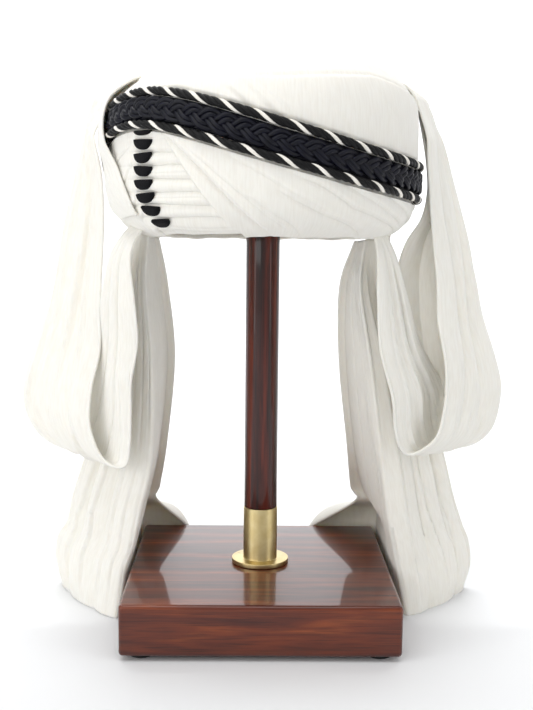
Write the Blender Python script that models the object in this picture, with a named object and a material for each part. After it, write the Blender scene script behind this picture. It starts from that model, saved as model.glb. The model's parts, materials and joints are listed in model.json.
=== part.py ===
"""A tied white cotton turban with a plaited band, on a hardwood display stand.

The origin is on the floor under the middle of the base. +Z is up, the turban faces -Y,
and +X is to the right of someone who looks at its front.
"""
import functools
import math

import bmesh
import bpy
import numpy as np
from mathutils import Vector

# Stand
BASE_SIDE = 0.203
BASE_HEIGHT = 0.038
BASE_EASE = 0.003
FOOT_RADIUS = 0.0085
FOOT_HEIGHT = 0.0035
FOOT_INSET = 0.015
POST_RADIUS = 0.013
TENON_LENGTH = 0.030
COLLAR_RADIUS = 0.0134
COLLAR_WALL = 0.0016
COLLAR_HEIGHT = 0.045
FLANGE_RADIUS = 0.0225
FLANGE_HEIGHT = 0.0035
REST_RADIUS = 0.036
REST_RIM = 0.008
REST_DOME = 0.009
REST_PROFILE = ((1.0, 1.0), (0.8, 0.66), (0.5, 0.35), (0.2, 0.12))

# Turban
RIM_Z = 0.296
HEAD_WIDTH = 0.160
HEAD_DEPTH = 0.188
SIDE_WALL = 0.036
FRONT_WALL = 0.036
CROWN_RISE = 0.064
RIM_DROP = 0.070
CROWN_LEAN = 0.006
RIM_LEAN = 0.004
CROWN_SQUARE = 3.2
RIM_SQUARE = 5.0
HOLLOW_HEIGHT = 0.116
HOLLOW_SQUARE = 2.6
CORE_END = 0.74
LAYERS_END = 0.78
SIDE_WRAP_END = 0.92
WRAP_THICKNESS = 0.004
CLOTH_THICKNESS = 0.002

# Front pleats, band and petals
PLEAT_PITCH = 0.009
PLEAT_DEPTH = 0.0026
PLEAT_COUNT = 7
PLEATS_TOP = 0.0625
BAND_WIDTH = 0.017
BAND_THICKNESS = 0.0052
CORD_DIAMETER = 0.0062
BAND_BED = 0.0015
BED_RAMP = 0.0025
PETAL_WIDTH = 0.021
PETAL_HEIGHT = 0.0072
PETAL_THICKNESS = 0.0018
PETAL_COUNT = 8
PETAL_TURN = -136.0
PETAL_DRIFT = (0.0, 0.0, 0.0, 0.0, 0.0, 0.5, 2.0, 4.0)

# Hanging cloth
LOOP_DROP = 0.276
LOOP_REACH = 0.062
LOOP_WIDTH = 0.090
CURL_RISE = 0.016
CORNER_GAP = 0.0045
TAIL_REACH = 0.110
FLOOR_GAP = 0.0003

# Gaps between pieces
SEAT_GAP = 0.0003
LAY_GAP = 0.0005
BED_GAP = 0.0012
TUCK_GAP = 0.0007
SIDE_GAP = 0.0010

HALF_WIDTH = HEAD_WIDTH / 2 + SIDE_WALL
HALF_DEPTH = HEAD_DEPTH / 2 + FRONT_WALL
BELLY_Z = RIM_Z + RIM_DROP
BASE_BOTTOM = FOOT_HEIGHT + SEAT_GAP
BASE_TOP = BASE_BOTTOM + BASE_HEIGHT
COLLAR_BOTTOM = BASE_TOP + SEAT_GAP
COLLAR_TOP = COLLAR_BOTTOM + COLLAR_HEIGHT
HOLLOW_TOP = RIM_Z + HOLLOW_HEIGHT
REST_TOP = HOLLOW_TOP - 2 * SEAT_GAP
POST_TOP = REST_TOP - REST_RIM - REST_DOME - SEAT_GAP

# Height of the band's middle over the rim round the turban, as a share of the wound height
BAND_ROUTE = (
    # turn, height
    (-180, 0.619),
    (-160, 0.657),
    (-145, 0.694),
    (-133, 0.694),
    (-121, 0.664),
    (-106, 0.604),
    (-92, 0.537),
    (-72, 0.459),
    (-48, 0.381),
    (-17, 0.336),
    (20, 0.328),
    (60, 0.366),
    (100, 0.433),
    (140, 0.545),
)

# Edge of the layer that crosses the pleats, and the line where the side wrap covers them
CROSSING_EDGE = (
    # height, turn
    (0.030, -97.0),
    (0.079, -100.0),
    (0.127, -104.5),
    (0.272, -112.0),
    (0.389, -118.0),
    (0.486, -123.0),
    (0.564, -127.0),
    (0.709, -133.0),
)
SIDE_EDGE = (
    # height, turn
    (0.030, -140.0),
    (0.137, -145.0),
    (0.253, -150.0),
    (0.399, -157.0),
    (0.583, -163.0),
    (0.806, -167.0),
)

# Creases pressed into the wound cloth, each from one place to another
CREASES = (
    # start turn, start height, end turn, end height, width, depth
    (-122, 0.544, -103, 0.272, 0.030, 0.90),
    (-103, 0.272, -84, 0.079, 0.030, 0.95),
    (-84, 0.292, -69, 0.156, 0.035, 0.75),
    (-69, 0.156, -45, 0.069, 0.035, 0.80),
    (-76, 0.340, -58, 0.195, 0.035, 0.70),
    (-58, 0.195, -25, 0.088, 0.035, 0.75),
    (-52, 0.243, -28, 0.108, 0.030, 0.60),
    (40, 0.224, 120, 0.321, 0.050, 0.70),
    (30, 0.108, 150, 0.146, 0.050, 0.70),
)
CROWN_CREASES = (
    # start turn, start height, end turn, end height, width, depth
    (-112, 0.806, -60, 0.821, 0.030, 0.70),
    (-60, 0.821, -15, 0.796, 0.030, 0.75),
    (-102, 0.728, -88, 0.593, 0.030, 0.50),
    (-92, 0.728, -78, 0.564, 0.030, 0.40),
    (60, 0.758, 140, 0.825, 0.050, 0.60),
)
CREASE_DEPTH = 0.003
DEEPEST_CREASE = 0.0026
# Share of the crossing layer's way round that shows in front, where its columns are closer
WRAP_FRONT = 0.31

# Side wrap: a strip from the crown's left shoulder, over the band, to the rim
SIDE_WRAP = (
    # walk from the band's middle (share of band's whole width), front turn, back turn, lift
    (1.50, -168.5, -180.0, 0.15),
    (1.00, -168.0, -183.0, 0.55),
    (0.60, -167.0, -187.0, 0.95),
    (0.25, -165.0, -190.0, 1.00),
    (-0.20, -163.0, -190.0, 1.00),
    (-0.60, -160.0, -191.0, 0.95),
    (-0.90, -157.0, -188.0, 0.50),
    (-1.30, -152.0, -183.0, 0.10),
    (-1.70, -148.0, -177.0, 0.00),
    (-2.10, -144.5, -167.0, 0.00),
    (-2.50, -142.0, -158.0, 0.00),
)

# Loops: free rows below the shoulder, as shares of the loop's drop, reach and width
LEFT_LOOP = (
    # drop, out, deep, width, splay, tilt, fold
    (-0.012, 0.115, 0.15, 0.66, 8, 0.00, 0.1),
    (0.028, 0.250, 0.15, 0.68, 9, 0.00, 0.2),
    (0.069, 0.295, 0.15, 0.70, 10, 0.00, 0.3),
    (0.116, 0.310, 0.14, 0.75, 13, 0.00, 0.4),
    (0.221, 0.325, 0.13, 0.86, 23, 0.00, 0.7),
    (0.362, 0.395, 0.12, 0.89, 31, 0.00, 1.0),
    (0.558, 0.510, 0.10, 0.91, 35, 0.00, 1.0),
    (0.685, 0.600, 0.08, 0.93, 42, 0.00, 1.0),
    (0.793, 0.710, 0.04, 0.95, 45, 0.00, 0.8),
    (0.875, 0.730, 0.01, 0.95, 45, 0.02, 0.6),
    (0.935, 0.650, -0.02, 0.93, 45, 0.05, 0.4),
    (0.978, 0.520, -0.04, 0.91, 44, 0.06, 0.2),
    (1.000, 0.340, -0.08, 0.86, 43, 0.05, 0.1),
    (0.985, 0.150, -0.14, 0.78, 41, 0.05, 0.1),
    (0.920, 0.020, -0.24, 0.66, 39, 0.04, 0.3),
    (0.840, -0.060, -0.32, 0.56, 36, 0.02, 0.4),
    (0.757, -0.100, -0.38, 0.52, 34, 0.00, 0.6),
    (0.652, -0.160, -0.44, 0.52, 34, 0.00, 0.8),
    (0.540, -0.170, -0.50, 0.48, 33, 0.00, 0.8),
    (0.442, -0.180, -0.54, 0.36, 33, 0.00, 0.5),
    (0.388, -0.260, -0.55, 0.26, 36, 0.00, 0.3),
)
RIGHT_LOOP = (
    # drop, out, deep, width, splay, tilt, fold
    (-0.020, 0.020, 0.15, 0.66, 14, 0.00, 0.1),
    (0.020, 0.140, 0.15, 0.68, 15, 0.00, 0.2),
    (0.069, 0.220, 0.15, 0.70, 16, 0.00, 0.3),
    (0.116, 0.280, 0.14, 0.75, 20, 0.00, 0.4),
    (0.214, 0.350, 0.13, 0.85, 24, 0.00, 0.7),
    (0.380, 0.500, 0.11, 0.88, 31, 0.00, 1.0),
    (0.493, 0.600, 0.10, 0.90, 33, 0.00, 1.0),
    (0.605, 0.670, 0.08, 0.91, 34, 0.00, 1.0),
    (0.721, 0.790, 0.06, 0.93, 37, 0.00, 0.8),
    (0.804, 0.830, 0.03, 0.94, 41, 0.00, 0.6),
    (0.870, 0.800, 0.01, 0.94, 42, -0.02, 0.5),
    (0.925, 0.720, -0.02, 0.93, 42, -0.05, 0.3),
    (0.960, 0.560, -0.04, 0.90, 42, -0.07, 0.1),
    (0.975, 0.360, -0.07, 0.86, 41, -0.07, 0.0),
    (0.955, 0.200, -0.13, 0.80, 40, -0.04, 0.1),
    (0.890, 0.100, -0.20, 0.78, 39, 0.00, 0.3),
    (0.797, 0.030, -0.28, 0.76, 38, 0.00, 0.5),
    (0.667, -0.180, -0.36, 0.66, 35, 0.00, 0.8),
    (0.529, -0.310, -0.42, 0.52, 34, 0.00, 0.8),
    (0.431, -0.400, -0.48, 0.38, 32, 0.00, 0.5),
)
# Where each loop's inner end goes in under the rim, and how the gathered end lies there
LEFT_TUCK = {"out": -0.38, "deep": -0.53, "width": 0.18, "splay": 38}
RIGHT_TUCK = {"out": -0.50, "deep": -0.52, "width": 0.20, "splay": 34}

# Tails: a folded cloth with its fold in front; level 0 is the floor, 1 the curl's crest just
# over the base, and 2 the rim. Places are shares of the turban's or the base's half sizes,
# the inner run a share of the way to the base's back corner, where the hook turns behind it.
LEFT_TAIL = (
    # level, fold out, fold deep, outer run, splay, inner run, hook run, lean, ripple
    (2.00, 0.733, -0.28, 0.20, 34, 0.11, 0.04, 8, 0.0),
    (1.85, 0.773, -0.24, 0.28, 35, 0.24, 0.06, 14, 0.2),
    (1.60, 0.757, -0.21, 0.54, 37, 0.38, 0.06, 8, 0.8),
    (1.30, 0.794, -0.21, 0.78, 42, 0.50, 0.06, 0, 1.0),
    (1.12, 0.897, -0.21, 0.86, 42, 0.70, 0.08, -1, 1.0),
    (1.06, 0.932, -0.21, 0.89, 41, 0.74, 0.10, -2, 0.9),
    (1.00, 0.970, -0.21, 0.92, 40, 1.00, 0.41, 0, 0.8),
    (0.72, 1.025, -0.21, 0.99, 39, 1.00, 0.43, 0, 0.6),
    (0.35, 1.059, -0.21, 1.02, 37, 1.00, 0.42, 0, 0.5),
    (0.00, 1.100, -0.21, 0.98, 33, 1.00, 0.40, 0, 0.4),
)
RIGHT_TAIL = (
    # level, fold out, fold deep, outer run, splay, inner run, hook run, lean, ripple
    (2.00, 0.655, -0.15, 0.32, 40, 0.11, 0.04, 8, 0.0),
    (1.85, 0.646, -0.14, 0.36, 41, 0.24, 0.06, 12, 0.2),
    (1.60, 0.753, -0.13, 0.55, 43, 0.38, 0.06, 17, 0.8),
    (1.30, 0.879, -0.13, 0.72, 46, 0.50, 0.06, 14, 1.0),
    (1.12, 0.959, -0.13, 0.80, 46, 0.70, 0.10, 7, 1.0),
    (1.06, 0.991, -0.13, 0.83, 46, 0.72, 0.14, 3, 0.9),
    (1.00, 1.028, -0.13, 0.86, 46, 1.00, 0.58, 0, 0.8),
    (0.72, 1.059, -0.13, 0.90, 46, 1.00, 0.60, 0, 0.6),
    (0.35, 1.103, -0.13, 0.91, 44, 1.00, 0.60, 0, 0.5),
    (0.00, 1.143, -0.13, 0.86, 40, 1.00, 0.58, 0, 0.4),
)
HOOK_HEADINGS = (-60.0, -85.0, -100.0, -118.0)
LOOP_START = 0.806
LOOP_ROOTS = ((0.93, 0.0), (0.87, 0.003))
LOOP_TURN = 20.0
LOOP_SPREAD = 34.0
OUTER_BULGE = 16.0
RIPPLE_DEPTH = 0.0035
RIPPLE_COUNT = 3
LOOP_FOLD_DEPTH = 0.0030
LOOP_FOLD_COUNT = 3


def clear_scene():
    for thing in list(bpy.data.objects):
        bpy.data.objects.remove(thing, do_unlink=True)


def finish(name, colour, roughness, metallic=0.0):
    """A Principled material with one colour"""
    material = bpy.data.materials.new(name)
    material.use_nodes = True
    shader = material.node_tree.nodes["Principled BSDF"]
    shader.inputs["Base Color"].default_value = (*colour, 1.0)
    shader.inputs["Roughness"].default_value = roughness
    shader.inputs["Metallic"].default_value = metallic
    material.diffuse_color = (*colour, 1.0)
    return material


def add_object(name, mesh, material, smooth=True):
    """Put a mesh in the scene under a node's name"""
    piece = bpy.data.objects.new(name, mesh)
    bpy.context.scene.collection.objects.link(piece)
    mesh.materials.append(material)
    if smooth:
        mesh.shade_smooth()
        mesh.set_sharp_from_angle(angle=math.radians(40))
    return piece


def mesh_from(name, points, faces):
    """A closed mesh with its faces turned outwards"""
    work = bmesh.new()
    corners = [work.verts.new(point) for point in points]
    for face in faces:
        work.faces.new([corners[index] for index in face])
    bmesh.ops.recalc_face_normals(work, faces=work.faces)
    mesh = bpy.data.meshes.new(name)
    work.to_mesh(mesh)
    work.free()
    return mesh


def turned(name, profile, sides, material):
    """A solid turned round the Z axis from (radius, height) pairs that start and end on it"""
    work = bmesh.new()
    corners = [work.verts.new((radius, 0.0, height)) for radius, height in profile]
    edges = [work.edges.new(pair) for pair in zip(corners, corners[1:])]
    bmesh.ops.spin(work, geom=corners + edges, axis=(0, 0, 1), cent=(0, 0, 0),
                   steps=sides, angle=2 * math.pi, use_merge=True)
    bmesh.ops.remove_doubles(work, verts=work.verts, dist=1e-6)
    bmesh.ops.recalc_face_normals(work, faces=work.faces)
    mesh = bpy.data.meshes.new(name)
    work.to_mesh(mesh)
    work.free()
    return add_object(name, mesh, material)


def sheet_between(name, outer, inner, material):
    """A closed wall between two grids of points, joined round their borders"""
    rows, columns = len(outer), len(outer[0])
    size = rows * columns
    points = [point for row in outer for point in row] + [point for row in inner for point in row]
    faces = []
    for i in range(rows - 1):
        for j in range(columns - 1):
            a, b = i * columns + j, (i + 1) * columns + j
            faces.append((a, a + 1, b + 1, b))
            faces.append((size + a, size + b, size + b + 1, size + a + 1))
    border = [j for j in range(columns)]
    border += [i * columns + columns - 1 for i in range(1, rows)]
    border += [(rows - 1) * columns + j for j in range(columns - 2, -1, -1)]
    border += [i * columns for i in range(rows - 2, 0, -1)]
    for here, there in zip(border, border[1:] + border[:1]):
        faces.append((here, size + here, size + there, there))
    return add_object(name, mesh_from(name, points, faces), material)


def ring_of(name, sections, material):
    """A closed ring through equal sections, each a closed loop of points"""
    count, sides = len(sections), len(sections[0])
    points = [point for section in sections for point in section]
    faces = []
    for i in range(count):
        for j in range(sides):
            k, m = (i + 1) % count, (j + 1) % sides
            faces.append((i * sides + j, i * sides + m, k * sides + m, k * sides + j))
    return add_object(name, mesh_from(name, points, faces), material)


def between(table, value):
    """Second column of a two-column table at a value of its first"""
    return float(np.interp(value, [row[0] for row in table], [row[1] for row in table]))


def smooth_rows(rows, count):
    """Rows of numbers resampled to a count along a Catmull-Rom curve through them"""
    rows = np.asarray(rows, float)
    padded = np.concatenate([[2 * rows[0] - rows[1]], rows, [2 * rows[-1] - rows[-2]]])
    result = []
    for place in np.linspace(0, len(rows) - 1, count):
        k = min(int(place), len(rows) - 2)
        t = place - k
        p0, p1, p2, p3 = padded[k:k + 4]
        result.append(0.5 * (2 * p1 + (p2 - p0) * t + (2 * p0 - 5 * p1 + 4 * p2 - p3) * t ** 2
                             + (3 * p1 - p0 - 3 * p2 + p3) * t ** 3))
    return np.array(result)


def profile_table():
    """How far a walk up the turban's side from its belly goes, for each angle of rise, with
    more angles near the belly, where the height changes fastest"""
    rises = list(np.linspace(-89.5, 89.5, 359))
    for up in np.linspace(0.01, 0.95, 95):
        rises.append(math.degrees(math.asin(up ** (CROWN_SQUARE / 2))))
        rises.append(-math.degrees(math.asin(up ** (RIM_SQUARE / 2))))
    rises.sort()
    places = []
    for rise in rises:
        square = CROWN_SQUARE if rise >= 0 else RIM_SQUARE
        height = CROWN_RISE if rise >= 0 else RIM_DROP
        out = math.cos(math.radians(rise)) ** (2 / square)
        up = math.copysign(abs(math.sin(math.radians(rise))) ** (2 / square), rise)
        places.append(((HALF_WIDTH + HALF_DEPTH) / 2 * out, up * height))
    steps = np.linalg.norm(np.diff(places, axis=0), axis=1)
    walks = np.concatenate([[0.0], np.cumsum(steps)])
    return walks - np.interp(0.0, rises, walks), rises


WALKS, RISES = profile_table()


def on_turban(turn, walk, lift=0.0):
    """A place on the wound turban: turn in degrees (-90 faces front), walk in metres up its
    side from the belly, lift in metres off its surface"""
    rise = math.radians(float(np.interp(walk, WALKS, RISES)))
    side, deep = math.cos(math.radians(turn)), math.sin(math.radians(turn))
    square = CROWN_SQUARE if rise >= 0 else RIM_SQUARE
    out = math.cos(rise) ** (2 / square)
    up = abs(math.sin(rise)) ** (2 / square)
    height = CROWN_RISE + CROWN_LEAN * out * side if rise >= 0 else -RIM_DROP - RIM_LEAN * out * deep
    place = Vector((HALF_WIDTH * out * side, HALF_DEPTH * out * deep, BELLY_Z + up * height))
    slope = out ** (square - 1)
    normal = Vector((slope * side / HALF_WIDTH, slope * deep / HALF_DEPTH, up ** (square - 1) / height))
    return place + normal.normalized() * lift


def height_at(turn, walk):
    """Height over the rim as a share of the turban's wound height"""
    return (on_turban(turn, walk).z - RIM_Z) / (CROWN_RISE + RIM_DROP)


def walk_at(turn, share):
    """Walk that reaches a height, the inverse of height_at"""
    low, high = WALKS[20], WALKS[-20]
    for _ in range(24):
        middle = (low + high) / 2
        low, high = (middle, high) if height_at(turn, middle) < share else (low, middle)
    return low


def walk_under(out):
    """Walk that ends under the rim, at a share of the turban's half size from its middle"""
    rise = -math.degrees(math.acos(out ** (RIM_SQUARE / 2)))
    return float(np.interp(rise, RISES, WALKS))


def band_walk(turn):
    """Walk of the band's middle at a turn, from its route, which closes on itself"""
    turn = (turn + 180) % 360 - 180
    turns = [row[0] for row in BAND_ROUTE] + [BAND_ROUTE[0][0] + 360]
    heights = [row[1] for row in BAND_ROUTE] + [BAND_ROUTE[0][1]]
    return walk_at(turn, float(np.interp(turn, turns, heights)))


@functools.lru_cache(maxsize=None)
def smooth_band_walk(turn):
    """The band's walk evened out over its neighbours, so that its route has no corners"""
    return sum(band_walk(turn + step) for step in (-12, -6, 0, 6, 12)) / 5


def band_slant(turn):
    """Cosine of the band's slope at a turn, which widens its measure along the walk"""
    rise = smooth_band_walk(turn + 3) - smooth_band_walk(turn - 3)
    return math.cos(math.atan2(rise, math.radians(6) * (HALF_WIDTH + HALF_DEPTH) / 2))


def band_edge(turn, way, beyond=0.0):
    """Walk just outside the cord on one side of the band: 1 is above it, -1 below"""
    half = BAND_WIDTH / 2 + SEAT_GAP + CORD_DIAMETER + LAY_GAP + beyond
    return smooth_band_walk(turn) + way * half / band_slant(turn)


def bed_lift(turn, walk):
    """How deep the cloth is pressed in under the band and its cords"""
    apart = abs(walk - smooth_band_walk(turn))
    start = band_edge(turn, 1) - smooth_band_walk(turn)
    end = band_edge(turn, 1, BED_RAMP) - smooth_band_walk(turn)
    return -float(np.interp(apart, (start, end), (BAND_BED + BED_GAP, 0.0)))


def crease_lift(creases, turn, share):
    """How deep the nearby creases press the cloth in at a place"""
    lift = 0.0
    around = math.pi / 180 * HALF_DEPTH / (CROWN_RISE + RIM_DROP)
    for start_turn, start, end_turn, end, width, depth in creases:
        run = np.array([(end_turn - start_turn) * around, end - start])
        here = np.array([(turn - start_turn) * around, share - start])
        along = float(np.clip(here @ run / (run @ run), 0.0, 1.0))
        apart = float(np.linalg.norm(here - along * run))
        lift -= CREASE_DEPTH * depth * math.exp(-(apart / width) ** 2)
    return max(lift, -DEEPEST_CREASE)


def pleat_lift(turn, share):
    """The stacked pleats: each rolls out and ends in a sharp crease below"""
    height = share * (CROWN_RISE + RIM_DROP)
    phase = (PLEATS_TOP - height) / PLEAT_PITCH
    if phase < -0.5:
        return -PLEAT_DEPTH / 2
    fade = min(1.0, max(0.25, (turn + 150) / 10))
    return -PLEAT_DEPTH * fade * (1 - abs(math.sin(math.pi * phase)) ** 0.6)


def wound_crown(material):
    """The wound body and crown, a thick cap that is hollow for the head and open below"""
    sides, high_rows, low_rows, hollow_rows = 40, 8, 5, 5
    rim_walk = walk_under(CORE_END)
    step = BAND_WIDTH / 8
    rings = []
    for i in range(high_rows + low_rows + hollow_rows):
        ring = []
        for j in range(sides):
            turn = 360 * j / sides - 180
            middle = smooth_band_walk(turn)
            if i < high_rows:
                share = (i + 1) / (high_rows - 2)
                ramp_top = band_edge(turn, 1, BED_RAMP)
                walk = WALKS[-1] * 0.985 * (1 - share) + ramp_top * share
                if i == high_rows - 2:
                    walk = band_edge(turn, 1)
                if i == high_rows - 1:
                    walk = middle + step
                lift = crease_lift(CROWN_CREASES, turn, height_at(turn, walk))
                point = on_turban(turn, walk, lift + bed_lift(turn, walk))
            elif i < high_rows + low_rows:
                share = (i - high_rows) / (low_rows - 1)
                walk = (middle - step) * (1 - share) + rim_walk * share
                point = on_turban(turn, walk, -WRAP_THICKNESS - BED_GAP)
            else:
                angle = math.pi / 2 * (i - high_rows - low_rows) / hollow_rows
                out = math.cos(angle) ** (2 / HOLLOW_SQUARE)
                up = math.sin(angle) ** (2 / HOLLOW_SQUARE)
                side, deep = math.cos(math.radians(turn)), math.sin(math.radians(turn))
                floor = on_turban(turn, rim_walk, -WRAP_THICKNESS).z + WRAP_THICKNESS
                point = Vector((HEAD_WIDTH / 2 * out * side, HEAD_DEPTH / 2 * out * deep,
                                floor + (HOLLOW_TOP - floor) * up))
            ring.append(point)
        rings.append(ring)
    points = [point for ring in rings for point in ring]
    top, ceiling = len(points), len(points) + 1
    points += [Vector((0, 0, BELLY_Z + CROWN_RISE)), Vector((0, 0, HOLLOW_TOP))]
    faces = []
    last = len(rings) - 1
    for j in range(sides):
        k = (j + 1) % sides
        faces.append((top, j, k))
        for i in range(last):
            faces.append((i * sides + j, (i + 1) * sides + j, (i + 1) * sides + k, i * sides + k))
        faces.append((ceiling, last * sides + k, last * sides + j))
    return add_object("wound_crown", mesh_from("wound_crown", points, faces), material)


def laid_wrap(name, walks, edges, columns, relief, material):
    """A layer laid on the wound body between two edges, which give its turns at each height;
    columns are shares of the way from the first edge to the second"""
    outer, inner = [], []
    for walk_of in walks:
        outer_row, inner_row = [], []
        for across in columns:
            turn, walk = 0.0, 0.0
            share = 0.3
            for _ in range(4):
                start, end = edges[0](share), edges[1](share)
                turn = start + (end - start) * across
                walk = walk_of(turn)
                share = height_at(turn, walk)
            lift = min(relief(turn, share), bed_lift(turn, walk))
            outer_row.append(on_turban(turn, walk, lift))
            inner_row.append(on_turban(turn, walk, -WRAP_THICKNESS))
        outer.append(outer_row)
        inner.append(inner_row)
    return sheet_between(name, outer, inner, material)


def rim_end(turn):
    """Where the laid layers end, turned in under the rim"""
    return walk_under(LAYERS_END)


def under_band(turn):
    """Where the laid layers end, under the band"""
    return smooth_band_walk(turn) - BAND_WIDTH / 4


def below_band(turn):
    """Where the cloth has come up again from its bed, below the band"""
    return band_edge(turn, -1, BED_RAMP)


def pleat_walks():
    """Rows for the pleats: the band's bed, then three to a pleat, then the rim"""
    rows = [under_band, lambda turn: band_edge(turn, -1), below_band]
    for step in range(-1, 3 * (PLEAT_COUNT - 1) + 1):
        share = (PLEATS_TOP - step * PLEAT_PITCH / 3) / (CROWN_RISE + RIM_DROP)
        rows.append(lambda turn, share=share: min(walk_at(turn, share),
                                                  below_band(turn) - LAY_GAP))
    rows.append(rim_end)
    return rows


def wrap_walks(count):
    """Rows for a plain layer: the band's bed, then even rows to the rim"""
    rows = [under_band, lambda turn: band_edge(turn, -1)]
    for step in range(count):
        share = step / (count - 1)
        rows.append(lambda turn, share=share: below_band(turn) * (1 - share) + rim_end(turn) * share)
    return rows


def front_layers(cotton):
    """The level pleats, and the layer that crosses them and goes on round the back"""
    spread = math.degrees(SIDE_GAP / HALF_DEPTH)
    laid_wrap("front_pleats", pleat_walks(),
              (lambda share: between(SIDE_EDGE, share) + spread,
               lambda share: between(CROSSING_EDGE, share) - spread),
              np.linspace(0, 1, 6), pleat_lift, cotton)
    front = np.linspace(0, WRAP_FRONT, 21)
    back = np.linspace(WRAP_FRONT, 1, 24)[1:]
    laid_wrap("diagonal_wrap", wrap_walks(9),
              (lambda share: between(CROSSING_EDGE, share),
               lambda share: between(SIDE_EDGE, share) + 360 - spread),
              np.concatenate([front, back]),
              lambda turn, share: crease_lift(CREASES, turn, share), cotton)


def band_section(turn, outline):
    """A closed outline of (walk, lift) pairs set on the turban across the band's route"""
    middle, slant = smooth_band_walk(turn), band_slant(turn)
    return [on_turban(turn, middle + walk / slant, lift) for walk, lift in outline]


def plaited_band(plait, twist):
    """The band as one rounded strip, with a cord along each edge"""
    count = 50
    turns = [360 * i / count - 180 for i in range(count)]
    half, low, high = BAND_WIDTH / 2, -BAND_BED, BAND_THICKNESS - BAND_BED
    outline = [(-half, low), (-half, low + BAND_THICKNESS * 0.6), (-half * 0.7, high),
               (half * 0.7, high), (half, low + BAND_THICKNESS * 0.6), (half, low)]
    ring_of("plait_band", [band_section(turn, outline) for turn in turns], plait)
    radius = CORD_DIAMETER / 2
    for name, way in (("upper_cord", 1), ("lower_cord", -1)):
        centre = way * (half + SEAT_GAP + radius)
        circle = [(centre + radius * math.cos(math.tau * k / 6), low + radius + LAY_GAP / 2
                   + radius * math.sin(math.tau * k / 6)) for k in range(6)]
        ring_of(name, [band_section(turn, circle) for turn in turns], twist)


def petals(material):
    """Black half-moon tabs down the pleats' left end; the cord half covers the first"""
    for number in range(1, PETAL_COUNT + 1):
        tall = PETAL_HEIGHT
        middle = PETAL_TURN + PETAL_DRIFT[number - 1]
        height = PLEATS_TOP + PLEAT_PITCH * (3 - number)
        top = walk_at(middle, height / (CROWN_RISE + RIM_DROP)) - SEAT_GAP
        if number == 1:
            top = band_edge(middle, -1) - LAY_GAP
            second = walk_at(middle, (PLEATS_TOP + PLEAT_PITCH) / (CROWN_RISE + RIM_DROP))
            tall = min(PETAL_HEIGHT / 2, top - second - SEAT_GAP)
        outline = [(-0.5, 0.0), (0.5, 0.0), (0.47, 0.34), (0.32, 0.74), (0.10, 0.97),
                   (-0.10, 0.97), (-0.32, 0.74), (-0.47, 0.34)]
        degrees = math.degrees(PETAL_WIDTH / HALF_DEPTH)
        outer, inner = [], []
        for across, down in outline:
            turn, walk = middle + across * degrees, top - down * tall
            outer.append(on_turban(turn, walk, LAY_GAP + PETAL_THICKNESS))
            inner.append(on_turban(turn, walk, LAY_GAP))
        count = len(outline)
        faces = [tuple(range(count)), tuple(range(2 * count - 1, count - 1, -1))]
        for j in range(count):
            k = (j + 1) % count
            faces.append((j, count + j, count + k, k))
        name = f"petal_{number}"
        add_object(name, mesh_from(name, outer + inner, faces), material)


def side_wrap(material):
    """The strip that comes over the band's left end and gathers at the rim"""
    whole = BAND_WIDTH + 2 * (CORD_DIAMETER + SEAT_GAP)
    over = CORD_DIAMETER - BAND_BED
    columns = 4
    outer, inner = [], []
    for share, front, back, raised in SIDE_WRAP:
        outer_row, inner_row = [], []
        for j in range(columns + 1):
            turn = front + (back - front) * j / columns
            walk = max(smooth_band_walk(turn) + share * whole, walk_under(SIDE_WRAP_END))
            lift = BED_GAP + raised * over
            outer_row.append(on_turban(turn, walk, lift + CLOTH_THICKNESS))
            inner_row.append(on_turban(turn, walk, lift))
        outer.append(outer_row)
        inner.append(inner_row)
    sheet_between("side_wrap", outer, inner, material)


def thick_sheet(name, grid, material):
    """A cloth wall of even thickness about a grid of points"""
    grid = np.asarray(grid, float)
    along = np.gradient(grid, axis=0)
    across = np.gradient(grid, axis=1)
    normal = np.cross(along, across)
    normal /= np.linalg.norm(normal, axis=2, keepdims=True)
    outer = grid + normal * CLOTH_THICKNESS / 2
    inner = grid - normal * CLOTH_THICKNESS / 2
    return sheet_between(name, outer.tolist(), inner.tolist(), material)


def under_rim(x, y):
    """Height of the turban's underside over a place"""
    out = min(math.hypot(x / HALF_WIDTH, y / HALF_DEPTH), 0.985)
    deep = y / HALF_DEPTH
    down = (1 - out ** RIM_SQUARE) ** (1 / RIM_SQUARE)
    return BELLY_Z - down * (RIM_DROP + RIM_LEAN * deep)


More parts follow.
